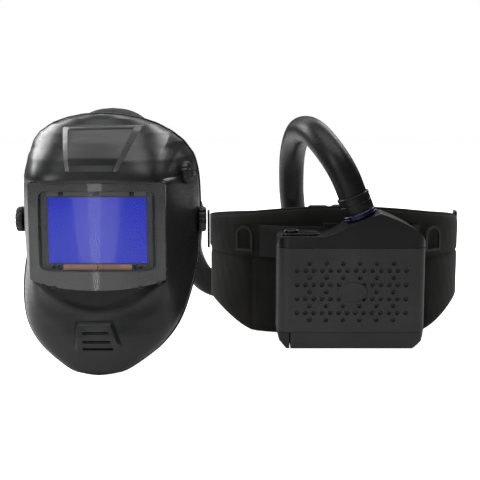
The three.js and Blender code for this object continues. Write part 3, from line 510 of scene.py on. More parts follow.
def soft_box(name, origin, low, high, material, body, bevel=0.8, segments=3):
    """A moulded block with rounded edges between two corners of its group."""
    lo, hi = origin + Vector(low), origin + Vector(high)
    xs, ys, zs = zip(lo, hi)
    verts = [(x, y, z) for x in xs for y in ys for z in zs]
    faces = [(0, 1, 3, 2), (4, 6, 7, 5), (0, 4, 5, 1), (2, 3, 7, 6), (0, 2, 6, 4), (1, 5, 7, 3)]
    piece = add_mesh(name, verts, faces, material, body)
    return bevelled(piece, bevel, segments)


def axis_frame(axis):
    axis = Vector(axis).normalized()
    side = Vector((0, 1, 0)).cross(axis)
    if side.length < 0.1:
        side = Vector((1, 0, 0)).cross(axis)
    side.normalize()
    return side, axis.cross(side), axis


def lathe(name, origin, axis, profile, material, body, sides=64, flutes=0, depth=0.0):
    """A turned piece: profile pairs are (radius, distance along the axis), flutes cut its rim."""
    side, up, axis = axis_frame(axis)
    verts = []
    for radius, distance in profile:
        for k in range(sides):
            a = 2 * math.pi * k / sides
            r = radius
            if flutes and radius > 8:
                r -= depth * max(0.0, math.cos(a * flutes)) ** 2
            point = origin + axis * distance + side * (r * math.cos(a))
            verts.append(point + up * (r * math.sin(a)))
    rings = len(profile)
    faces = grid_faces(rings, sides, wrap_cols=True)
    if profile[0] != profile[-1]:
        faces += end_caps(rings, sides)
    return add_mesh(name, verts, faces, material, body)


def tube(name, line, radius, material, body, sides=12, closed=False, ripple=None):
    """A round section swept along points in millimetres, kept from twisting."""
    count = len(line)
    tangents = []
    for i in range(count):
        a = line[(i - 1) % count] if closed or i else line[0]
        b = line[(i + 1) % count] if closed or i < count - 1 else line[-1]
        tangents.append((b - a).normalized())
    side = tangents[0].cross(Vector((0.3, 0.2, 1)))
    side.normalize()
    verts = []
    for i in range(count):
        side = (side - tangents[i] * side.dot(tangents[i])).normalized()
        up = tangents[i].cross(side)
        r = ripple(i) if ripple else radius
        for k in range(sides):
            a = 2 * math.pi * k / sides
            verts.append(line[i] + side * (r * math.cos(a)) + up * (r * math.sin(a)))
    faces = grid_faces(count, sides, closed, True) + ([] if closed else end_caps(count, sides))
    return add_mesh(name, verts, faces, material, body, 60)


def prism_mesh(outline, low, high):
    """A temporary cutter: an outline in the front plane, pushed from low to high."""
    verts = [Vector((a, level, b)) for level in (low, high) for a, b in outline]
    n = len(outline)
    return verts, grid_faces(2, n, wrap_cols=True) + [tuple(reversed(range(n))),
                                                      tuple(range(n, 2 * n))]


def rounded(x0, x1, z0, z1, radius, steps=8):
    corners = [(x1 - radius, z0 + radius, -90), (x1 - radius, z1 - radius, 0),
               (x0 + radius, z1 - radius, 90), (x0 + radius, z0 + radius, 180)]
    out = []
    for cx, cz, start in corners:
        for k in range(steps + 1):
            a = math.radians(start + 90 * k / steps)
            out.append((cx + radius * math.cos(a), cz + radius * math.sin(a)))
    return out


def cut_with(piece, origin, solids):
    """Cuts prisms, given as (verts, faces) of their group, out of a piece, and applies it."""
    verts, faces = [], []
    for vs, fs in solids:
        base = len(verts)
        verts += [origin + v for v in vs]
        faces += [tuple(base + k for k in f) for f in fs]
    mesh = mesh_of("cutter", verts, faces)
    work = bmesh.new()
    work.from_mesh(mesh)
    bmesh.ops.recalc_face_normals(work, faces=work.faces)
    work.to_mesh(mesh)
    work.free()
    cutter = bpy.data.objects.new("cutter", mesh)
    COLLECTION.objects.link(cutter)
    add_modifier(piece, "BOOLEAN", operation="DIFFERENCE", object=cutter, solver="EXACT")
    settle(piece)
    bpy.data.objects.remove(cutter)
    return piece


def refined(name, cad, body, material, bevel, segments, angle):
    """A CAD body again with its flat facets joined and its edges rounded."""
    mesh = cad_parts[cad].data.copy()
    work = bmesh.new()
    work.from_mesh(mesh)
    bmesh.ops.remove_doubles(work, verts=work.verts, dist=1e-6)
    bmesh.ops.dissolve_limit(work, angle_limit=math.radians(1.2), verts=work.verts,
                             edges=work.edges)
    work.to_mesh(mesh)
    work.free()
    mesh.materials.clear()
    piece = finish_mesh(name, mesh, material, body)
    bevelled(piece, bevel, segments, angle)
    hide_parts(cad)
    return piece


def refined_pieces(table):
    """Rows are name, CAD node, body, material, bevel, segments, angle and slot; the slot is not used.
    """
    for *settings, slot in table:
        refined(*settings)


# ------------------------------------------------------------------ helmet shell
SHELL_ROWS = [
    (-172, 0, -148, -148, 2.2, 0), (-168, 27, -150, -142, 2.2, 0),
    (-160, 45, -150, -134, 2.2, 0), (-143, 71, -151, -119, 2.2, 0.03),
    (-126, 88, -150, -103, 2.3, 0.06), (-108, 99, -148, -84, 2.5, 0.1),
    (-82, 108, -147, -50, 3.2, 0.18), (-58, 113, -151, -12, 4.6, 0.26),
    (-30, 115, -154, 28, 5.4, 0.29), (0, 116, -154, 42, 5.6, 0.29),
    (34, 115.5, -154, 44, 5.6, 0.29), (62, 113.5, -153, 36, 5.2, 0.27),
    (87, 108, -144, 12, 3.6, 0.2), (105, 97, -131, -14, 2.7, 0.13),
    (118, 83, -119, -38, 2.3, 0.06), (128, 66, -107, -54, 2.2, 0.03),
    (135, 46, -97, -61, 2.2, 0), (139.4, 24, -88, -65, 2.2, 0), (141, 0, -81, -67, 2.2, 0),
]
ROWS = np.array(SHELL_ROWS, float)
CHIN_SLOTS = [(-18.5, 13.5, -119), (-18.5, 16, -129.5), (-19, 18.5, -139)]
SLOT_HALF = 1.6
SLOT_CORNER = 1.5
FRONT_CUT = (-175, -105)
SHELL_WALL = 2.4
SHELL_COLUMNS = 180
BOLT_RADIUS = 4.4


def chin_slots():
    return [prism_mesh(rounded(x0, x1, z - SLOT_HALF, z + SLOT_HALF, SLOT_CORNER, 4), *FRONT_CUT)
            for x0, x1, z in CHIN_SLOTS]


def rows_between(per_gap):
    """The shell's rows with smooth ones between them, and straight runs between crown corners."""
    out = []
    for i in range(len(ROWS) - 1):
        p0 = ROWS[max(i - 1, 0)]
        p1, p2 = ROWS[i], ROWS[i + 1]
        p3 = ROWS[min(i + 2, len(ROWS) - 1)]
        for k in range(per_gap):
            t = k / per_gap
            p = 0.5 * (2 * p1 + (p2 - p0) * t + (2 * p0 - 5 * p1 + 4 * p2 - p3) * t**2
                       + (3 * p1 - p0 - 3 * p2 + p3) * t**3)
            p[1] = max(p[1], 0)
            straight = p1[0] >= 87 or i == 0
            out.append(p1 * (1 - t) + p2 * t if straight else p)
    out.append(ROWS[-1])
    return out


def shell_front(x, z):
    """How far forward the plain shell reaches at a point of its front view."""
    w, f, r, n, taper = (float(np.interp(z, ROWS[:, 0], ROWS[:, k])) for k in (1, 2, 3, 4, 5))
    middle = min(r, -5)
    low, high = 0.0, 1.0
    for _ in range(22):
        forward = (low + high) / 2
        reach = w * (1 - taper * forward) * max(0.0, 1 - forward**n) ** (1 / n)
        low, high = (forward, high) if reach > abs(x) else (low, forward)
    return middle - (middle - f) * low


def smoothstep(t):
    t = min(1.0, max(0.0, t))
    return t * t * (3 - 2 * t)


def facet_line(z):
    return 61.8 + (z - 60.7) * 0.402


def shell_relief(x, y, z):
    """How far the moulded shell stands out from its plain form."""
    relief = 0.0
    away = smoothstep((float(np.interp(z, ROWS[:, 0], ROWS[:, 3])) - y) / 55)
    if y < -60 and abs(x) < 84 and z < -60:
        arc = -97 + 0.0056 * x * x
        side = smoothstep((84 - abs(x)) / 10)
        if z > arc:
            relief -= 2.0 + 5.5 * smoothstep((z - arc) / 11) * side
        else:
            relief -= 2.0 * (1 - smoothstep((arc - z) / 30)) * side
    if z > 60:
        beyond = x - facet_line(z)
        relief -= 0.22 * min(max(beyond, 0.0), 20) * smoothstep((z - 60) / 4) * away
        beyond = -x - facet_line(z) - 6
        relief -= 0.10 * min(max(beyond, 0.0), 20) * smoothstep((z - 60) / 4) * away
    if 61 < z < 90 and y < -40:
        relief += 2.2 * smoothstep((z - 61) / 1.5) * (1 - smoothstep((z - 64) / 20))
    return relief


def build_shell():
    grid = []
    for z, w, f, r, n, taper in rows_between(10):
        middle = min(r, -5)
        row = [Vector((-w, middle + (r - middle) * b, z)) for b in (1, 0.75, 0.5, 0.25)]
        for j in range(SHELL_COLUMNS + 1):
            a = (j / SHELL_COLUMNS - 0.5) * math.pi
            s, c = math.sin(a), math.cos(a)
            forward = max(c, 0) ** (2 / n)
            row.append(Vector((w * (1 - taper * forward) * signed_power(s, 2 / n),
                               middle - (middle - f) * forward, z)))
        row += [Vector((w, middle + (r - middle) * b, z)) for b in (0.25, 0.5, 0.75, 1)]
        grid.append(row)
    rows, cols = len(grid), len(grid[0])
    verts = []
    for i in range(rows):
        for j in range(cols):
            p = grid[i][j]
            du = grid[i][min(j + 1, cols - 1)] - grid[i][max(j - 1, 0)]
            dv = grid[min(i + 1, rows - 1)][j] - grid[max(i - 1, 0)][j]
            normal = du.cross(dv)
            if normal.length > 1e-6:
                normal.normalize()
            verts.append(HELMET + p + normal * shell_relief(*p))
    shell = add_mesh("shell_moulding", verts, grid_faces(rows, cols), SHELL_RECESS_SHADED, "shell", 30)
    add_modifier(shell, "SOLIDIFY", thickness=SHELL_WALL * MM, offset=-1)
    settle(shell)
    window = prism_mesh(lens_outline(0.4), *FRONT_CUT)
    verts, faces = prism_mesh(ellipse(BOLT_RADIUS, BOLT_RADIUS, 24), -130, 130)
    across = [Vector((v.y, v.x, v.z)) for v in verts]
    cut_with(shell, HELMET, [window, *chin_slots(), (across, faces)])
    shade(shell.data, 24)
    claim("helmet_shell")


LENS_HALF = 82
LENS_TOP = 61.5


def lens_low(x):
    return -67 + 10.5 * (abs(x) / LENS_HALF) ** 2.4


def lens_outline(grow):
    """The lens in front view: straight on top, bowed below, with small round corners."""
    half = LENS_HALF + grow
    out = []
    for k in range(33):
        x = -half + 4 + (2 * half - 8) * k / 32
        out.append((x, lens_low(x) - grow))
    out += [(half - 1, lens_low(half) + 1.5), (half, lens_low(half) + 5)]
    top = LENS_TOP + grow
    out += [(half, top - 4), (half - 1, top - 1), (half - 4, top)]
    out += [(-half + 4, top), (-half + 1, top - 1), (-half, top - 4)]
    out += [(-half, lens_low(half) + 5), (-half + 1, lens_low(half) + 1.5)]
    return out


def surface_patch(name, corners, height, bevel, material, body, steps=24, fade=None):
    """A raised four-sided boss that follows the shell, with a bevel all round.
    corners run bottom left, bottom right, top right, top left in the front view."""
    bl, br, tr, tl = (Vector((x, 0, z)) for x, z in corners)

    def stations(length):
        rim = [bevel * k / 2 / length for k in (0, 0.6, 2)]
        mid = [rim[-1] + (1 - 2 * rim[-1]) * k / steps for k in range(1, steps)]
        return rim + mid + [1 - t for t in reversed(rim)]

    us = stations((br - bl).length * 0.5 + (tr - tl).length * 0.5)
    vs = stations((tl - bl).length)
    verts = []
    for iv, v in enumerate(vs):
        for iu, u in enumerate(us):
            p = bl.lerp(br, u).lerp(tl.lerp(tr, u), v)
            edge = min(iu, iv, len(us) - 1 - iu, len(vs) - 1 - iv)
            rise = (-0.8, height * 0.3, height)[min(edge, 2)]
            if fade:
                rise = -0.6 + (rise + 0.6) * fade(u, v)
            y = shell_front(p.x, p.z)
            d = 0.5
            slope_x = (shell_front(p.x + d, p.z) - shell_front(p.x - d, p.z)) / (2 * d)
            slope_z = (shell_front(p.x, p.z + d) - shell_front(p.x, p.z - d)) / (2 * d)
            normal = Vector((slope_x, -1, slope_z)).normalized()
            base = Vector((p.x, y, p.z))
            relief = shell_relief(p.x, y, p.z)
            verts.append(HELMET + base + normal * (rise + relief))
    return add_mesh(name, verts, grid_faces(len(vs), len(us)), material, body, 24)


def paint_edge_highlight(piece, columns, rows, material):
    """Paints a highlight down both sides of a boss: its bevels get a paler skin where side light would
    catch them.
    """
    piece.data.materials.append(material)
    for i in range(rows - 1):
        for j in (0, 1, columns - 3, columns - 2):
            piece.data.polygons[i * (columns - 1) + j].material_index = 1


def build_shell_details():
    corners = [(-35.5, 72.5), (27, 72.5), (54.5, 129), (-46, 126.5)]
    forehead = surface_patch("forehead_panel", corners, 4.6, 8.0, SHELL, "shell", 30)
    paint_edge_highlight(forehead, 35, 35, EDGE_HIGHLIGHT)
    chin = surface_patch("chin_block", [(-31, -147), (34, -146), (17.5, -104), (-28, -105)],
                         5.4, 5.5, SHELL, "shell", 26, lambda u, v: smoothstep(v * 2.6))
    add_modifier(chin, "SOLIDIFY", thickness=1.2 * MM, offset=-1)
    settle(chin)
    cut_with(chin, HELMET, chin_slots())
    shade(chin.data, 20)
    outline = rows_between(3)
    left = [Vector((-row[1], row[3], row[0])) for row in outline]
    right = [Vector((row[1], row[3], row[0])) for row in reversed(outline)]
    rim_line, _ = even_steps([HELMET + p for p in left + right[1:-1] + [left[0]]], 7)
    bead = tube("shell_rim_bead", rim_line[:-1], 1.9, SHELL_TRIM, "shell", 10, closed=True)
    lift_to_floor(bead)


# ------------------------------------------------------------------ window
def build_window():
    blocks = [(-59.5, -45), (-39.5, -4.6), (4.6, 39.5), (45, 59.5)]
    for k, (x0, x1) in enumerate(blocks):
        piece = soft_box(f"cartridge_block_{k + 1}", HELMET, (x0, -140.9, 45.4), (x1, -139.6, 50.6),
                         FRAME_BLOCK, "shell", 0.4)
    for k, x in enumerate((-42.2, 0, 42.2)):
        for side in (-1.4, 1.4):
            piece = soft_box(f"cartridge_notch_{k + 1}{'a' if side < 0 else 'b'}", HELMET,
                             (x + side - 0.8, -140.7, 46), (x + side + 0.8, -139.6, 50.4),
                             DEEP_BLACK, "shell", 0.3)
    for k, x in enumerate((-49, 49)):
        for side in (-3.2, 3.2):
            eye = lathe(f"light_sensor_{k + 1}{'a' if side < 0 else 'b'}",
                        HELMET + Vector((x + side, -139.6, -40.8)), (0, -1, 0),
                        [(2.6, 0), (2.6, 0.7), (2.2, 1.1), (1.7, 0.9), (1.2, 0.7)],
                        PANEL, "shell", 24)
    split = soft_box("solar_split", HELMET, (-0.6, -140.6, -44.4), (0.6, -139.4, -37.6),
                     BLACK, "shell", 0.2)
    lens_sheet("cover_lens_sheet", 0.0, 1.4, CLEAR, "cover_lens", 12.5)
    frame_piece = lens_sheet("lens_frame", 1.8, 3.2, FRAME_BLACK, "lens_bezel", 9)
    cut_with(frame_piece, HELMET, [prism_mesh(rounded(-70, 71, -44.5, 52, 8), -175, -120)])
    shade(frame_piece.data, 30)
    window_surround()
    window_flange()
    line = [HELMET + Vector((x, lens_face(x) + 2.4, z))
            for x, z in rounded(-69.6, 70.6, -44.1, 51.6, 8, 6)]
    lip, _ = even_steps(line + [line[0]], 5)
    trim = tube("bezel_lip", lip[:-1], 1.0, FRAME_GREY, "shell", 8, closed=True)
    for k, x in enumerate((-66, -52, 52, 74)):
        z = lens_low(x) - 0.6
        clip = soft_box(f"lens_clip_{k + 1}", HELMET, (x - 2.6, lens_face(x) - 1.0, z - 1.6),
                        (x + 2.6, lens_face(x) + 3.0, z + 1.4), SHELL_TRIM, "shell", 0.6)


def window_surround():
    """The moulded tunnel that joins the window's sheets to the shell all the way round."""
    outline = lens_outline(0.3)
    rings = [[], [], [], []]
    for x, z in outline:
        inner_x, inner_z = x * 0.976, (z + 2.7) * 0.972 - 2.7
        front = lens_face(x) + 3.4
        rear = max(front + 4, shell_front(x, z) + 7)
        for ring, (a, b, y) in zip(rings, ((x, z, front), (x, z, rear), (inner_x, inner_z, rear),
                                           (inner_x, inner_z, front))):
            ring.append(HELMET + Vector((a, y, b)))
    verts = [p for ring in rings for p in ring]
    piece = add_mesh("window_surround", verts, grid_faces(4, len(outline), True, True),
                     SHELL_TRIM, "shell", 30)


def window_flange():
    """The flat ring that fills between the tunnel and the cartridge holder, 5.5 to 7 mm back."""
    verts = []
    outline = lens_outline(0.1)
    for depth, inner in ((5.5, False), (7.0, False), (7.0, True), (5.5, True)):
        for x, z in outline:
            if inner:
                x, z = min(max(x, -69.5), 69.5), min(max(z, -50), 59.5)
            verts.append(HELMET + Vector((x, lens_face(x) + depth, z)))
    piece = add_mesh("window_flange", verts, grid_faces(4, len(outline), True, True),
                     SHELL_TRIM, "shell", 30)


def lift_to_floor(piece):
    """Flatten what would go below the surface that the set stands on."""
    for vert in piece.data.vertices:
        vert.co.z = max(vert.co.z, 0.0)


def lens_face(x):
    return -154 + 12 * (min(abs(x), 80) / 80) ** 2


def lens_sheet(name, behind, thickness, material, cad, side_depth):
    """The curved window sheet with its edges turned back along both sides."""
    half = LENS_HALF - 0.4
    across = [half * (2 * k / 48 - 1) for k in range(49)]
    path = [(x, lens_face(x) + behind) for x in across]
    turn = [(half + 0.6, path[-1][1] + 0.9), (half + 0.9, path[-1][1] + 2.2),
            (half + 1.0, path[-1][1] + side_depth)]
    path = [(-x, y) for x, y in reversed(turn)] + path + turn
    verts = []
    levels = 20
    for x, y in path:
        low, high = lens_low(min(abs(x), half)), LENS_TOP - 0.3
        if abs(x) > half - 3:
            edge = (abs(x) - half + 3) / 4
            low, high = low + 2.5 * edge**2, high - 2.5 * edge**2
        for k in range(levels + 1):
            verts.append(HELMET + Vector((x, y, low + (high - low) * k / levels)))
    piece = add_mesh(name, verts, grid_faces(len(path), levels + 1), material, "shell", 30)
    if sum(p.normal.y for p in piece.data.polygons) > 0:
        piece.data.flip_normals()
    add_modifier(piece, "SOLIDIFY", thickness=thickness * MM, offset=-1)
    settle(piece)
    shade(piece.data, 30)
    claim(cad)
    return piece


# ------------------------------------------------------------------ knobs
def knob_profile(radius, depth):
    return [(radius * 0.97, 0.0), (radius, 0.8), (radius, depth * 0.72),
            (radius * 0.93, depth * 0.93), (radius * 0.8, depth), (radius * 0.62, depth),
            (radius * 0.56, depth - 1.0), (radius * 0.3, depth - 1.0),
            (radius * 0.26, depth - 0.4), (1.0, depth - 0.3)]


def build_knobs():
    shade_axis = Vector((0.955, -0.27, 0.11)).normalized()
    base = HELMET + Vector((100.5, -66, 67)) + shade_axis * 0.4
    knob = lathe("shade_knob_grip", base, shade_axis, knob_profile(14, 8.5), BLACK, "shade_knob",
                 72, 12, 1.1)
    claim("shade_knob")
    for side, label in ((-1, "left"), (1, "right")):
        axis = Vector((side, 0, 0))
        base = HELMET + Vector((side * 116.5, 0, 0))
        knob = lathe(f"pivot_grip_{label}", base, axis, knob_profile(17, 9.5), BLACK,
                     f"pivot_knob_{label}", 80, 8, 2.2)
        claim(f"pivot_knob_{label}")
    low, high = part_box("ratchet_knob")
    centre = Vector(((low.x + high.x) / 2, high.y, (low.z + high.z) / 2)) / MM
    knob = lathe("ratchet_grip", centre + Vector((0, -15, 0)), (0, 1, 0), knob_profile(21, 15),
                 BLACK, "ratchet_knob", 96, 20, 1.2)
    claim("ratchet_knob")


# ------------------------------------------------------------------ hose
OUTLET = BLOWER + Vector((13.3, 35, 176.8))
OUTLET_AXIS = Vector((-0.37, 0, 0.929)).normalized()
INLET = HELMET + Vector((57.6, 118, 42.4))
INLET_AXIS = Vector((0.53, 0.62, -0.58)).normalized()


def build_hose():
    line, length = even_steps(spline_through(HOSE_ROUTE, 24), 1.5)
    pitch = 4

    def ripple(i):
        return HOSE_RADIUS - 0.05 + 0.05 * math.cos(2 * math.pi * i / pitch)

    hose = tube("breathing_hose", line, HOSE_RADIUS, HOSE_SKIN, "main", 56, ripple=ripple)
    claim("hose_tube")
    cuff = [(17.2, 0), (21.2, 0), (21.5, 0.6), (21.5, 12), (21.0, 12.5), (21.0, 13.2), (21.5, 13.7),
            (21.5, 20.2), (22.1, 20.9), (22.1, 23.2), (21.4, 23.8), (20.2, 24.0), (19.9, 22.6),
            (17.2, 22.4), (17.2, 0)]
    piece = lathe("blower_cuff_sleeve", OUTLET + OUTLET_AXIS * 4.4, OUTLET_AXIS, cuff,
                  HOSE_SKIN, "main", 72)
    claim("blower_cuff")
    front = Vector((0.1, -1, 0))
    front = (front - OUTLET_AXIS * front.dot(OUTLET_AXIS)).normalized()
    seam = [OUTLET + OUTLET_AXIS * (4.8 + k * 3.6) + front * 21.45 for k in range(6)]
    piece = tube("cuff_mould_line", seam, 0.45, HOSE_SKIN, "main", 8)
    collar = [(16.6, -3), (21.2, -3), (22, -2.3), (22, -0.2), (21.3, 0.3), (21.3, 1.1), (22, 1.6),
              (22, 3.3), (21.3, 4), (16.6, 4), (16.6, -3)]
    piece = lathe("lock_collar_ring", OUTLET, OUTLET_AXIS, collar, COLLAR, "lock_collar",
                  96, 24, 0.35)
    claim("lock_collar")
    cuff = [(17.2, 0), (21.8, 0), (22.5, 0.8), (22.5, 11), (21.9, 11.6), (21.9, 12.6), (22.5, 13.2),
            (22.5, 25.4), (22.0, 27.6), (20.4, 28.0), (20.1, 26.4), (17.2, 26), (17.2, 0)]
    piece = lathe("helmet_cuff_sleeve", INLET + INLET_AXIS * 12.3, INLET_AXIS, cuff,
                  HOSE_SKIN, "main", 72)
    claim("helmet_cuff")


# ------------------------------------------------------------------ headgear and duct
DUCT_ARC = (61.9, 148)
MOUTH_ARC = (43, 61.5)
DUCT_WALL = 2
BAND = {"a": 78, "b": 98, "y": 8, "z": 28, "tilt": 15}
SEAL_RIM = [(0, -134, -155), (34, -128, -150), (62, -112, -136), (86, -86, -113),
            (100, -52, -84), (107, -16, -58), (108, 8, -34)]
SEAL_FACE = [(0, -92, -122), (22, -89, -121), (42, -76, -115), (60, -54, -103),
             (74, -28, -80), (82, -2, -52), (85, 10, -34)]


def band_point(angle, grow, lift):
    """A point by the tilted headband: angle 0 is the forehead, and grow goes outwards."""
    tilt = math.radians(BAND["tilt"])
    a = math.radians(angle)
    run = -(BAND["b"] + grow) * math.cos(a)
    return Vector(((BAND["a"] + grow) * math.sin(a),
                   BAND["y"] + run * math.cos(tilt) + lift * math.sin(tilt),
                   BAND["z"] - run * math.sin(tilt) + lift * math.cos(tilt)))


def band_cushion(name, cad, start, end, half, tucks):
    """A foam strip inside the headband: plump between sewn tucks and thin at both ends."""
    stations, sides = 120, 28
    verts = []
    for i in range(stations + 1):
        t = i / stations
        ends = max(0.15, (1 - abs(2 * t - 1) ** 14)) ** 0.5
        tuck = 1 - 0.38 * math.exp(-(((t * tucks) % 1 - 0.5) / 0.07) ** 2)
        for k in range(sides):
            a = 2 * math.pi * k / sides
            lift = half * signed_power(math.cos(a), 0.6) * (0.93 + 0.07 * ends * tuck)
            depth = 3.5 * signed_power(math.sin(a), 0.75) * ends * (tuck if math.sin(a) < 0 else 1)
            verts.append(HELMET + band_point(start + (end - start) * t, -4.2 + depth, lift))
    faces = grid_faces(stations + 1, sides, wrap_cols=True) + end_caps(stations + 1, sides)
    pad = add_mesh(name, verts, faces, FOAM_CLOTH, "main", 60)
    claim(cad)
    seam = [HELMET + band_point(start + (end - start) * k / 60, -4.2, -half - 0.1)
            for k in range(61)]
    piping = tube(name + "_seam", seam, 0.8, PIPING, "main", 8)


def build_face_seal():
    """The cloth skirt from the shell's rim to the jaw, gathered on an elastic hem."""
    def edge(points):
        line = [(-x, y, z) for x, y, z in reversed(points[1:])] + points
        return spline_through(line, 20)

    rim, face = edge(SEAL_RIM), edge(SEAL_FACE)
    steps = 22
    count = len(rim)
    grid = []
    for i in range(steps + 1):
        t = i / steps
        row = []
        for j in range(count):
            p = rim[j].lerp(face[j], t)
            gather = math.sin(j * 0.42 + 1.3 * math.sin(j * 0.11)) * 1.3 * t**1.5
            slack = 2.2 * math.sin(math.pi * t)
            out = Vector((p.x, p.y * 0.4 - 30, p.z * 0.5)).normalized()
            row.append(HELMET + p + out * (gather + slack * 0.5))
        grid.append(row)
    verts = [p for row in grid for p in row]
    area = 0.0
    for row, after in zip(grid, grid[1:]):
        for j in range(count - 1):
            area += (row[j + 1] - row[j]).cross(after[j] - row[j]).length * MM**2
    seal = add_mesh("face_seal_cloth", verts, grid_faces(steps + 1, count), SEAL_CLOTH, "shell", 80)
    add_modifier(seal, "SOLIDIFY", thickness=1.2 * MM, offset=0)
    settle(seal)
    shade(seal.data, 80)
    claim("face_seal")
    hem_line, _ = even_steps(grid[-1], 3)
    hem = tube("face_seal_hem", hem_line, 2.0, PIPING, "shell", 10)
    _, rim_length = even_steps(grid[0], 3)
    slant = sum((grid[i + 1][count // 4] - grid[i][count // 4]).length for i in range(steps))
    slant = max(slant, area * 1e6 / rim_length)


def duct_ring(angle, shrink, count=56):
    """One section of the air duct over the crown: angle 0 is straight ahead, 90 straight up."""
    turn = math.radians(angle)
    outer = 125 + 26 * smoothstep((angle - 64) / 44) - shrink
    inner = 112 + 13 * smoothstep((angle - 40) / 110) + shrink
    half = 50 - 8 * smoothstep((angle - 50) / 30) - 13 * smoothstep((angle - 110) / 38) - shrink
    shift = 38 * smoothstep((angle - 98) / 50)
    ring = []
    for k in range(count):
        a = 2 * math.pi * k / count
        across = half * signed_power(math.cos(a), 0.5)
        radial = (outer - inner) / 2 * signed_power(math.sin(a), 0.6)
        radius = (outer + inner) / 2 + radial - 10 * (across / 42) ** 2
        ring.append(Vector((shift + across, -radius * math.cos(turn), radius * math.sin(turn))))
    return ring


def circle_ring(centre, axis, radius, count=56):
    side = Vector((0, axis.z, -axis.y)).normalized().cross(axis)
    up = side.cross(axis)
    return [centre + side * (radius * math.cos(2 * math.pi * k / count))
            + up * (radius * math.sin(2 * math.pi * k / count)) for k in range(count)]


def hollow_run(name, cad, outer, inner, material):
    """A walled channel: outer rings one way and inner rings back, joined at both mouths."""
    rings = outer + inner[::-1]
    verts = [HELMET + p for ring in rings for p in ring]
    faces = grid_faces(len(rings), len(rings[0]), True, True)
    piece = add_mesh(name, verts, faces, material, "main", 35)
    claim(cad)
    return piece


def build_duct():
    def run(start, end, shrink):
        steps = max(8, round((end - start) / 1.5))
        return [duct_ring(start + (end - start) * k / steps, shrink) for k in range(steps + 1)]

    for name, cad, ends, material in (("duct_cover", "air_duct", DUCT_ARC, DUCT_BLACK),
                                      ("diffuser_mouth", "air_diffuser", MOUTH_ARC, HOUSING_DARK)):
        hollow_run(name, cad, run(*ends, 0), run(*ends, DUCT_WALL), material)
    local_inlet = INLET - HELMET

    def elbow(shrink):
        first, before = duct_ring(148.2, shrink), duct_ring(146.2, shrink)
        last = circle_ring(local_inlet, INLET_AXIS, 20 - shrink)
        heading = sum((p - q for p, q in zip(first, before)), Vector()).normalized()
        reach = (sum(last, Vector()) - sum(first, Vector())).length / len(first) * 0.5
        rings = []
        for k in range(13):
            h = hermite(k / 12)
            rings.append([p * h[0] + heading * (reach * h[1]) + q * h[2]
                          + INLET_AXIS * (reach * h[3]) for p, q in zip(first, last)])
        for k in (1, 2, 3, 4):
            rings.append([q + INLET_AXIS * (3 * k) for q in last])
        return rings

    hollow_run("hose_elbow", "hose_inlet", elbow(0), elbow(2.2), HOUSING_DARK)


def build_headgear():
    band_cushion("sweatband_foam", "sweatband", -60, 60, 14.6, 6)
    band_cushion("nape_foam", "nape_pad", 152, 208, 15.6, 3)
    bevels = {"headband": 0.5, "crown_strap": 0.5, "ratchet_housing": 2.5,
              "pivot_bracket_left": 0.8, "pivot_bracket_right": 0.8,
              "band_tail_left": 0.5, "band_tail_right": 0.5}
    refined_pieces([(cad + "_look", cad, "main", BLACK, bevel, 2, 40, "headgear_black")
                    for cad, bevel in bevels.items()])


# ------------------------------------------------------------------ blower
def build_blower():
    refined_pieces([
        ("top_cover", "top_housing", "main", HOUSING_TOP, 2.6, 4, 40, "housing"),
        ("rear_case", "rear_housing", "main", HOUSING_DARK, 0.7, 2, 40, "housing_dark"),
        ("battery_shell", "battery_case", "battery", HOUSING, 1.2, 3, 40, "housing"),
    ])
    tongue = soft_box("battery_tongue", BLOWER, (-87, 12, 0.6), (-81.5, 30, 20), HOUSING_DARK,
                      "battery", 0.6)
    refined_pieces([
        ("latch_block", "battery_latch", "battery_latch", HOUSING_DARK, 1.2, 3, 40, "housing_dark"),
        ("clip_hook", "belt_clip", "main", HOUSING_DARK, 0.8, 3, 40, "housing_dark"),
        ("control_panel_look", "control_panel", "main", PANEL, 0.5, 3, 50, "headgear_black"),
        ("power_button_look", "power_button", "power_button", PANEL, 1.2, 3, 50, "headgear_black"),
        ("indicator_window_look", "indicator_window", "main", PANEL, 0.3, 3, 50, "headgear_black"),
    ])


HOLE_PITCH = 11.1
HOLE_ROW = 9.5
HOLE_RADIUS = 3
BADGE = (1.5, 77.5, 19.5, 12.5)
COVER_BACK = 33.7
COVER_LOW, COVER_HIGH = 22.6, 135.7
COVER_WALL = 2.5


def rounded_slab(half, y0, y1, radius, steps=12):
    out = []
    for cx, cy, start in ((half - radius, y0 + radius, -90), (half - radius, y1, 0),
                          (-half + radius, y1, 90), (-half + radius, y0 + radius, 180)):
        if cy == y1:
            out.append((half if start == 0 else -half, y1))
            continue
        for k in range(steps + 1):
            a = math.radians(start + 90 * k / steps)
            out.append((cx + radius * math.cos(a), cy + radius * math.sin(a)))
    return out


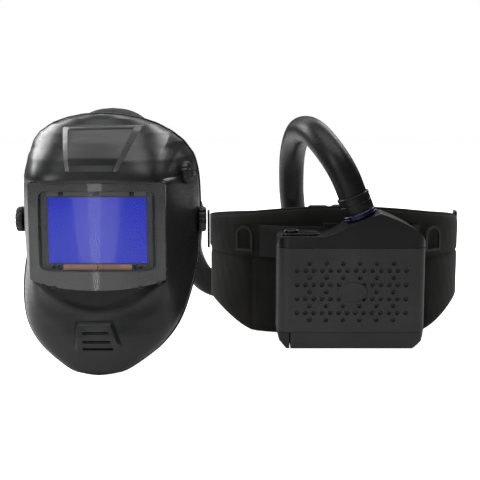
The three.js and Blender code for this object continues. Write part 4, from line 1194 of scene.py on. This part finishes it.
def build_filter_cover():
    outer = rounded_slab(99, 0, COVER_BACK, 18)
    inner = rounded_slab(99 - COVER_WALL, COVER_WALL, COVER_BACK, 16)
    verts, faces = tray(outer, inner, COVER_LOW, COVER_HIGH)
    cover = add_mesh("filter_cover_look", [BLOWER + v for v in verts], faces, HOUSING,
                     "filter_cover", 35)
    holes = []
    first = BADGE[1] - HOLE_ROW * 4
    for row in range(9):
        dense = row % 2 == 1
        count, pitch = (14, HOLE_PITCH) if dense else (6, 2 * HOLE_PITCH)
        for k in range(count):
            x = (k - (count - 1) / 2) * pitch
            z = first + row * HOLE_ROW
            if ((x - BADGE[0]) / BADGE[2]) ** 2 + ((z - BADGE[1]) / BADGE[3]) ** 2 < 1.0:
                continue
            holes.append(prism_mesh(ellipse(HOLE_RADIUS, HOLE_RADIUS, 20, (x, z)), -3, 5))
    cut_with(cover, BLOWER, holes)
    bevelled(cover, 0.5, 2, 45)
    shade(cover.data, 35)
    claim("filter_cover")
    verts, faces = prism_mesh(ellipse(BADGE[2], BADGE[3], 72, BADGE[:2]), -1.3, 1.2)
    badge = add_mesh("cover_oval", [BLOWER + v for v in verts], faces, HOUSING, "filter_cover")
    bevelled(badge, 0.6, 3, 50)


def tray(outer, inner, low, high):
    """A shell open to the rear: outer and inner plan outlines share their ends."""
    start = next(k for k, p in enumerate(outer) if p[0] < 0 and p[1] == COVER_BACK)
    outer = outer[start:] + outer[:start]
    inner = inner[start:] + inner[:start]
    n = len(outer)
    verts = []
    for line, z in ((outer, low), (outer, high), (inner, low + COVER_WALL),
                    (inner, high - COVER_WALL)):
        verts += [Vector((x, y, z)) for x, y in line]
    faces = []
    for k in range(n - 1):
        faces.append((k, k + 1, n + k + 1, n + k))
        faces.append((2 * n + k, 3 * n + k, 3 * n + k + 1, 2 * n + k + 1))
    faces.append(tuple(range(n)))
    faces.append(tuple(n + k for k in reversed(range(n))))
    faces.append(tuple(2 * n + k for k in reversed(range(n))))
    faces.append(tuple(3 * n + k for k in range(n)))
    last = n - 1
    faces.append((0, n, 3 * n, 2 * n))
    faces.append((last, 2 * n + last, 3 * n + last, n + last))
    faces.append((0, 2 * n, 2 * n + last, last))
    faces.append((n, n + last, 3 * n + last, 3 * n))
    return verts, faces


# ------------------------------------------------------------------ belt
PAD_REACH = 75
SEAM_HEIGHT = 108
SEAM_SIDE = 121
WEB_LOW, WEB_HIGH = 110.2, 154.8
LOOP = {"half": 185, "y": 225, "front": 139, "front_power": 2.4, "rear": 47, "rear_power": 2.6}


def loop_point(angle, offset=0.0):
    def at(t):
        front = math.cos(t) > 0
        p = LOOP["front_power"] if front else LOOP["rear_power"]
        depth = LOOP["front"] if front else LOOP["rear"]
        s, c = math.sin(t), math.cos(t)
        return Vector((LOOP["half"] * signed_power(s, 2 / p),
                       LOOP["y"] - depth * signed_power(c, 2 / p)))

    a = math.radians(angle)
    here = at(a)
    tangent = (at(a + 0.001) - at(a - 0.001)).normalized()
    return Vector((here.x + tangent.y * offset, here.y - tangent.x * offset))


def pad_low(x):
    return 46 * smoothstep((abs(x) - 104) / 100) ** 1.2


def pad_high(x):
    t = abs(x) / LOOP["half"]
    return 180 - 22 * t * t - 16 * smoothstep((abs(x) - 170) / 30)


def build_pad():
    """The padded back piece: plump between its seams and thin along its edge."""
    across = [-PAD_REACH + 2 * PAD_REACH * k / 150 for k in range(151)]
    up = [k / 72 for k in range(73)]
    seams_x = [-SEAM_SIDE, SEAM_SIDE]
    verts, faces = [], []
    grids = []
    for face_side in (1, -1):
        grid = []
        for v in up:
            row = []
            for a in across:
                centre = loop_point(a)
                low, high = pad_low(centre.x), pad_high(centre.x)
                z = low + (high - low) * v
                inside = min(v * (high - low), (1 - v) * (high - low), (PAD_REACH - abs(a)) * 2.6)
                plump = (1 - (1 - min(inside / 16, 1)) ** 2) ** 0.5
                down = [abs(centre.x - s) for s in seams_x] if z < SEAM_HEIGHT else []
                seam = min([abs(z - SEAM_HEIGHT), *down])
                groove = 1 - 0.32 * math.exp(-(seam / 2.6) ** 2)
                wave = 0.35 * math.sin(centre.x * 0.11 + z * 0.05) + 0.3 * math.sin(z * 0.13 + a)
                half = (2.2 + 3.6 * plump) * groove + 0.3 * wave * plump
                p = loop_point(a, face_side * half)
                row.append(BELT + Vector((p.x, p.y, z)))
            grid.append(row)
        grids.append(grid)
    cols, rows = len(across), len(up)
    for grid in grids:
        faces += grid_faces(rows, cols, base=len(verts))
        for row in grid:
            verts += row
    second = rows * cols
    border = [(0, j) for j in range(cols)] + [(i, cols - 1) for i in range(1, rows)]
    border += [(rows - 1, j) for j in range(cols - 2, -1, -1)]
    border += [(i, 0) for i in range(rows - 2, 0, -1)]
    for (i0, j0), (i1, j1) in zip(border, border[1:] + border[:1]):
        a, b = i0 * cols + j0, i1 * cols + j1
        faces.append((a, b, second + b, second + a))
    pad = add_mesh("back_pad_cushion", verts, faces, PAD_CLOTH, "main", 80)
    claim("back_pad")
    edge = [(grids[0][i][j] + grids[1][i][j]) / 2 for i, j in border]
    line, _ = even_steps(edge + [edge[0]], 4)
    piping = tube("pad_piping", line[:-1], 2.5, PIPING, "main", 10, closed=True)
    lift_to_floor(piping)
    seams = {"seam_across": [(a, SEAM_HEIGHT) for a in across[2:-2]]}
    for s, label in zip(seams_x, ("left", "right")):
        angle = min(across, key=lambda a: abs(loop_point(a).x - s))
        seams[f"seam_{label}"] = [(angle, z) for z in range(6, SEAM_HEIGHT - 2, 2)]
    for name, places in seams.items():
        stitches(name, places)


def stitches(name, places):
    """A row of thread stitches lying on the pad's front."""
    line = [BELT + Vector((*loop_point(a, 4.1), z)) for a, z in places]
    dense, _ = even_steps(line, 1.25)
    verts, faces = [], []
    for start in range(0, len(dense) - 3, 4):
        run = dense[start:start + 3]
        base = len(verts)
        for k, p in enumerate(run):
            r = (0.22, 0.42, 0.22)[k]
            for s in range(6):
                c = 2 * math.pi * s / 6
                verts.append(p + Vector((0, -r * math.cos(c) - 0.1, r * math.sin(c))))
        faces += grid_faces(3, 6, wrap_cols=True, base=base)
    piece = add_mesh(name, verts, faces, STITCH, "main")


def web_band(name, cad, line, thickness=1.7):
    """Flat belt webbing along a plan line, with rounded selvedges."""
    half = thickness / 2
    low, high = WEB_LOW + 0.7, WEB_HIGH - 0.7
    rungs = [43.2 * k / 6 for k in range(1, 6)]
    section = [(-half, low), (-half * 0.4, WEB_LOW), (half * 0.4, WEB_LOW), (half, low)]
    section += [(half, low + rung) for rung in rungs]
    section += [(half, high), (half * 0.4, WEB_HIGH), (-half * 0.4, WEB_HIGH), (-half, high)]
    section += [(-half, high - rung) for rung in rungs]
    verts = []
    for i, p in enumerate(line):
        ahead = (line[min(i + 1, len(line) - 1)] - line[max(i - 1, 0)]).normalized()
        out = Vector((ahead.y, -ahead.x))
        for offset, z in section:
            q = p + out * offset
            verts.append(BELT + Vector((q.x, q.y, z)))
    shape = len(line), len(section)
    faces = grid_faces(*shape, wrap_cols=True) + end_caps(*shape)
    strap = add_mesh(name, verts, faces, WEBBING, "main", 50)
    claim(cad)


def build_webbing():
    for sign, last, label in ((1, 171, "right"), (-1, 174, "left")):
        angles = [76 + (last - 76) * k / 90 for k in range(91)]
        web_band(f"side_strap_{label}", f"webbing_{label}", [loop_point(sign * a) for a in angles])
    corners = [(-112, 93.5), (-96, 87.5), (-78, 80.5), (-60, 75.4), (60, 75.4), (78, 80.5),
               (96, 87.5), (112, 93.5)]
    line = []
    for (x0, y0), (x1, y1) in zip(corners, corners[1:]):
        steps = max(1, round(abs(x1 - x0) / 2))
        line += [Vector((x0 + (x1 - x0) * k / steps, y0 + (y1 - y0) * k / steps)) for k in range(steps)]
    line.append(Vector(corners[-1]))
    for _ in range(6):
        middle = [(a + b * 2 + c) / 4 for a, b, c in zip(line, line[1:], line[2:])]
        line = [line[0]] + middle + [line[-1]]
    web_band("front_strap", "webbing_front", line)


def build_belt():
    table = []
    for label in ("left", "right"):
        table += [(f"outlet_frame_{label}", f"web_outlet_{label}", "main", 0.9),
                  (f"slider_frame_{label}", f"web_slider_{label}", "main", 0.7)]
    table += [("buckle_socket", "buckle_female", "main", 1.2),
              ("buckle_plug", "buckle_male", "buckle_male", 0.9)]
    refined_pieces([(name, cad, body, BLACK, bevel, 3, 40, "headgear_black")
                    for name, cad, body, bevel in table])


# ------------------------------------------------------------------ stage
def build_stage():
    scene = bpy.context.scene
    scene.view_settings.view_transform = "Standard"
    world = bpy.data.worlds.new("studio")
    scene.world = world
    world.use_nodes = True
    tree = world.node_tree
    background = tree.nodes["Background"]
    background.inputs["Color"].default_value = (1, 1, 1, 1)
    path = tree.nodes.new("ShaderNodeLightPath")
    level = range_of(tree, path.outputs["Is Camera Ray"], 0, 1, 0.045, 1.0)
    tree.links.new(level, background.inputs["Strength"])
    material, tree, shader = new_material("floor_pale")
    soft = noise_of(tree, 3, 2)
    tone = ramp_of(tree, soft, 0.3, 0.7, (0.90, 0.90, 0.90), (0.93, 0.93, 0.93))
    color_and_gloss(tree, shader, tone)
    set_inputs(shader, {"Roughness": 0.9, "Specular IOR Level": 0.1, "Emission Color": (1, 1, 1, 1)})
    path = tree.nodes.new("ShaderNodeLightPath")
    level = range_of(tree, path.outputs["Is Camera Ray"], 0, 1, 0.08, 0.94)
    tree.links.new(level, shader.inputs["Emission Strength"])
    size = 6
    mesh = bpy.data.meshes.new("floor")
    mesh.from_pydata([(-size, -size, -0.0005), (size, -size, -0.0005), (size, size, -0.0005),
                      (-size, size, -0.0005)], [], [(0, 1, 2, 3)])
    mesh.materials.append(material)
    floor = bpy.data.objects.new("floor", mesh)
    COLLECTION.objects.link(floor)
    lights = [
        ("top", (-0.1, -0.25, 1.9), (2.0, 1.2), 29, (-0.1, -0.05, 0.1)),
        ("key", (-1.35, -1.25, 1.0), (0.8, 1.0), 15, (-0.2, -0.1, 0.15)),
        ("rear_left", (-1.5, 1.3, 1.15), (1.2, 1.0), 24, (-0.2, 0, 0.25)),
        ("rear_right", (1.0, 1.4, 1.3), (1.2, 0.8), 11, (-0.1, 0, 0.25)),
        ("back", (0.2, 1.5, 1.4), (2.0, 0.6), 7, (0.0, 0.0, 0.15)),
        ("lens_glow", (-0.26, -0.70, 0.21), (0.085, 0.42), 0.21, (-0.215, -0.2, 0.21)),
    ]
    for name, place, (width, height), power, aim in lights:
        data = bpy.data.lights.new(name, "AREA")
        data.shape = "ELLIPSE" if name == "lens_glow" else "RECTANGLE"
        data.size, data.size_y = width, height
        data.energy = power
        lamp = bpy.data.objects.new(name, data)
        COLLECTION.objects.link(lamp)
        lamp.location = place
        lamp.visible_camera = False
        lamp.rotation_euler = (Vector(aim) - Vector(place)).to_track_quat("-Z", "Y").to_euler()


# ------------------------------------------------------------------ making
for cad_name, cad_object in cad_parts.items():
    cad_object.data.materials.clear()
    cad_object.data.materials.append(NODE_LOOKS[cad_name])
    shade(cad_object.data, 35)

build_hose()
build_shell()
build_shell_details()
build_window()
build_knobs()
build_face_seal()
build_duct()
build_headgear()
build_blower()
build_filter_cover()
build_pad()
build_webbing()
build_belt()
build_stage()
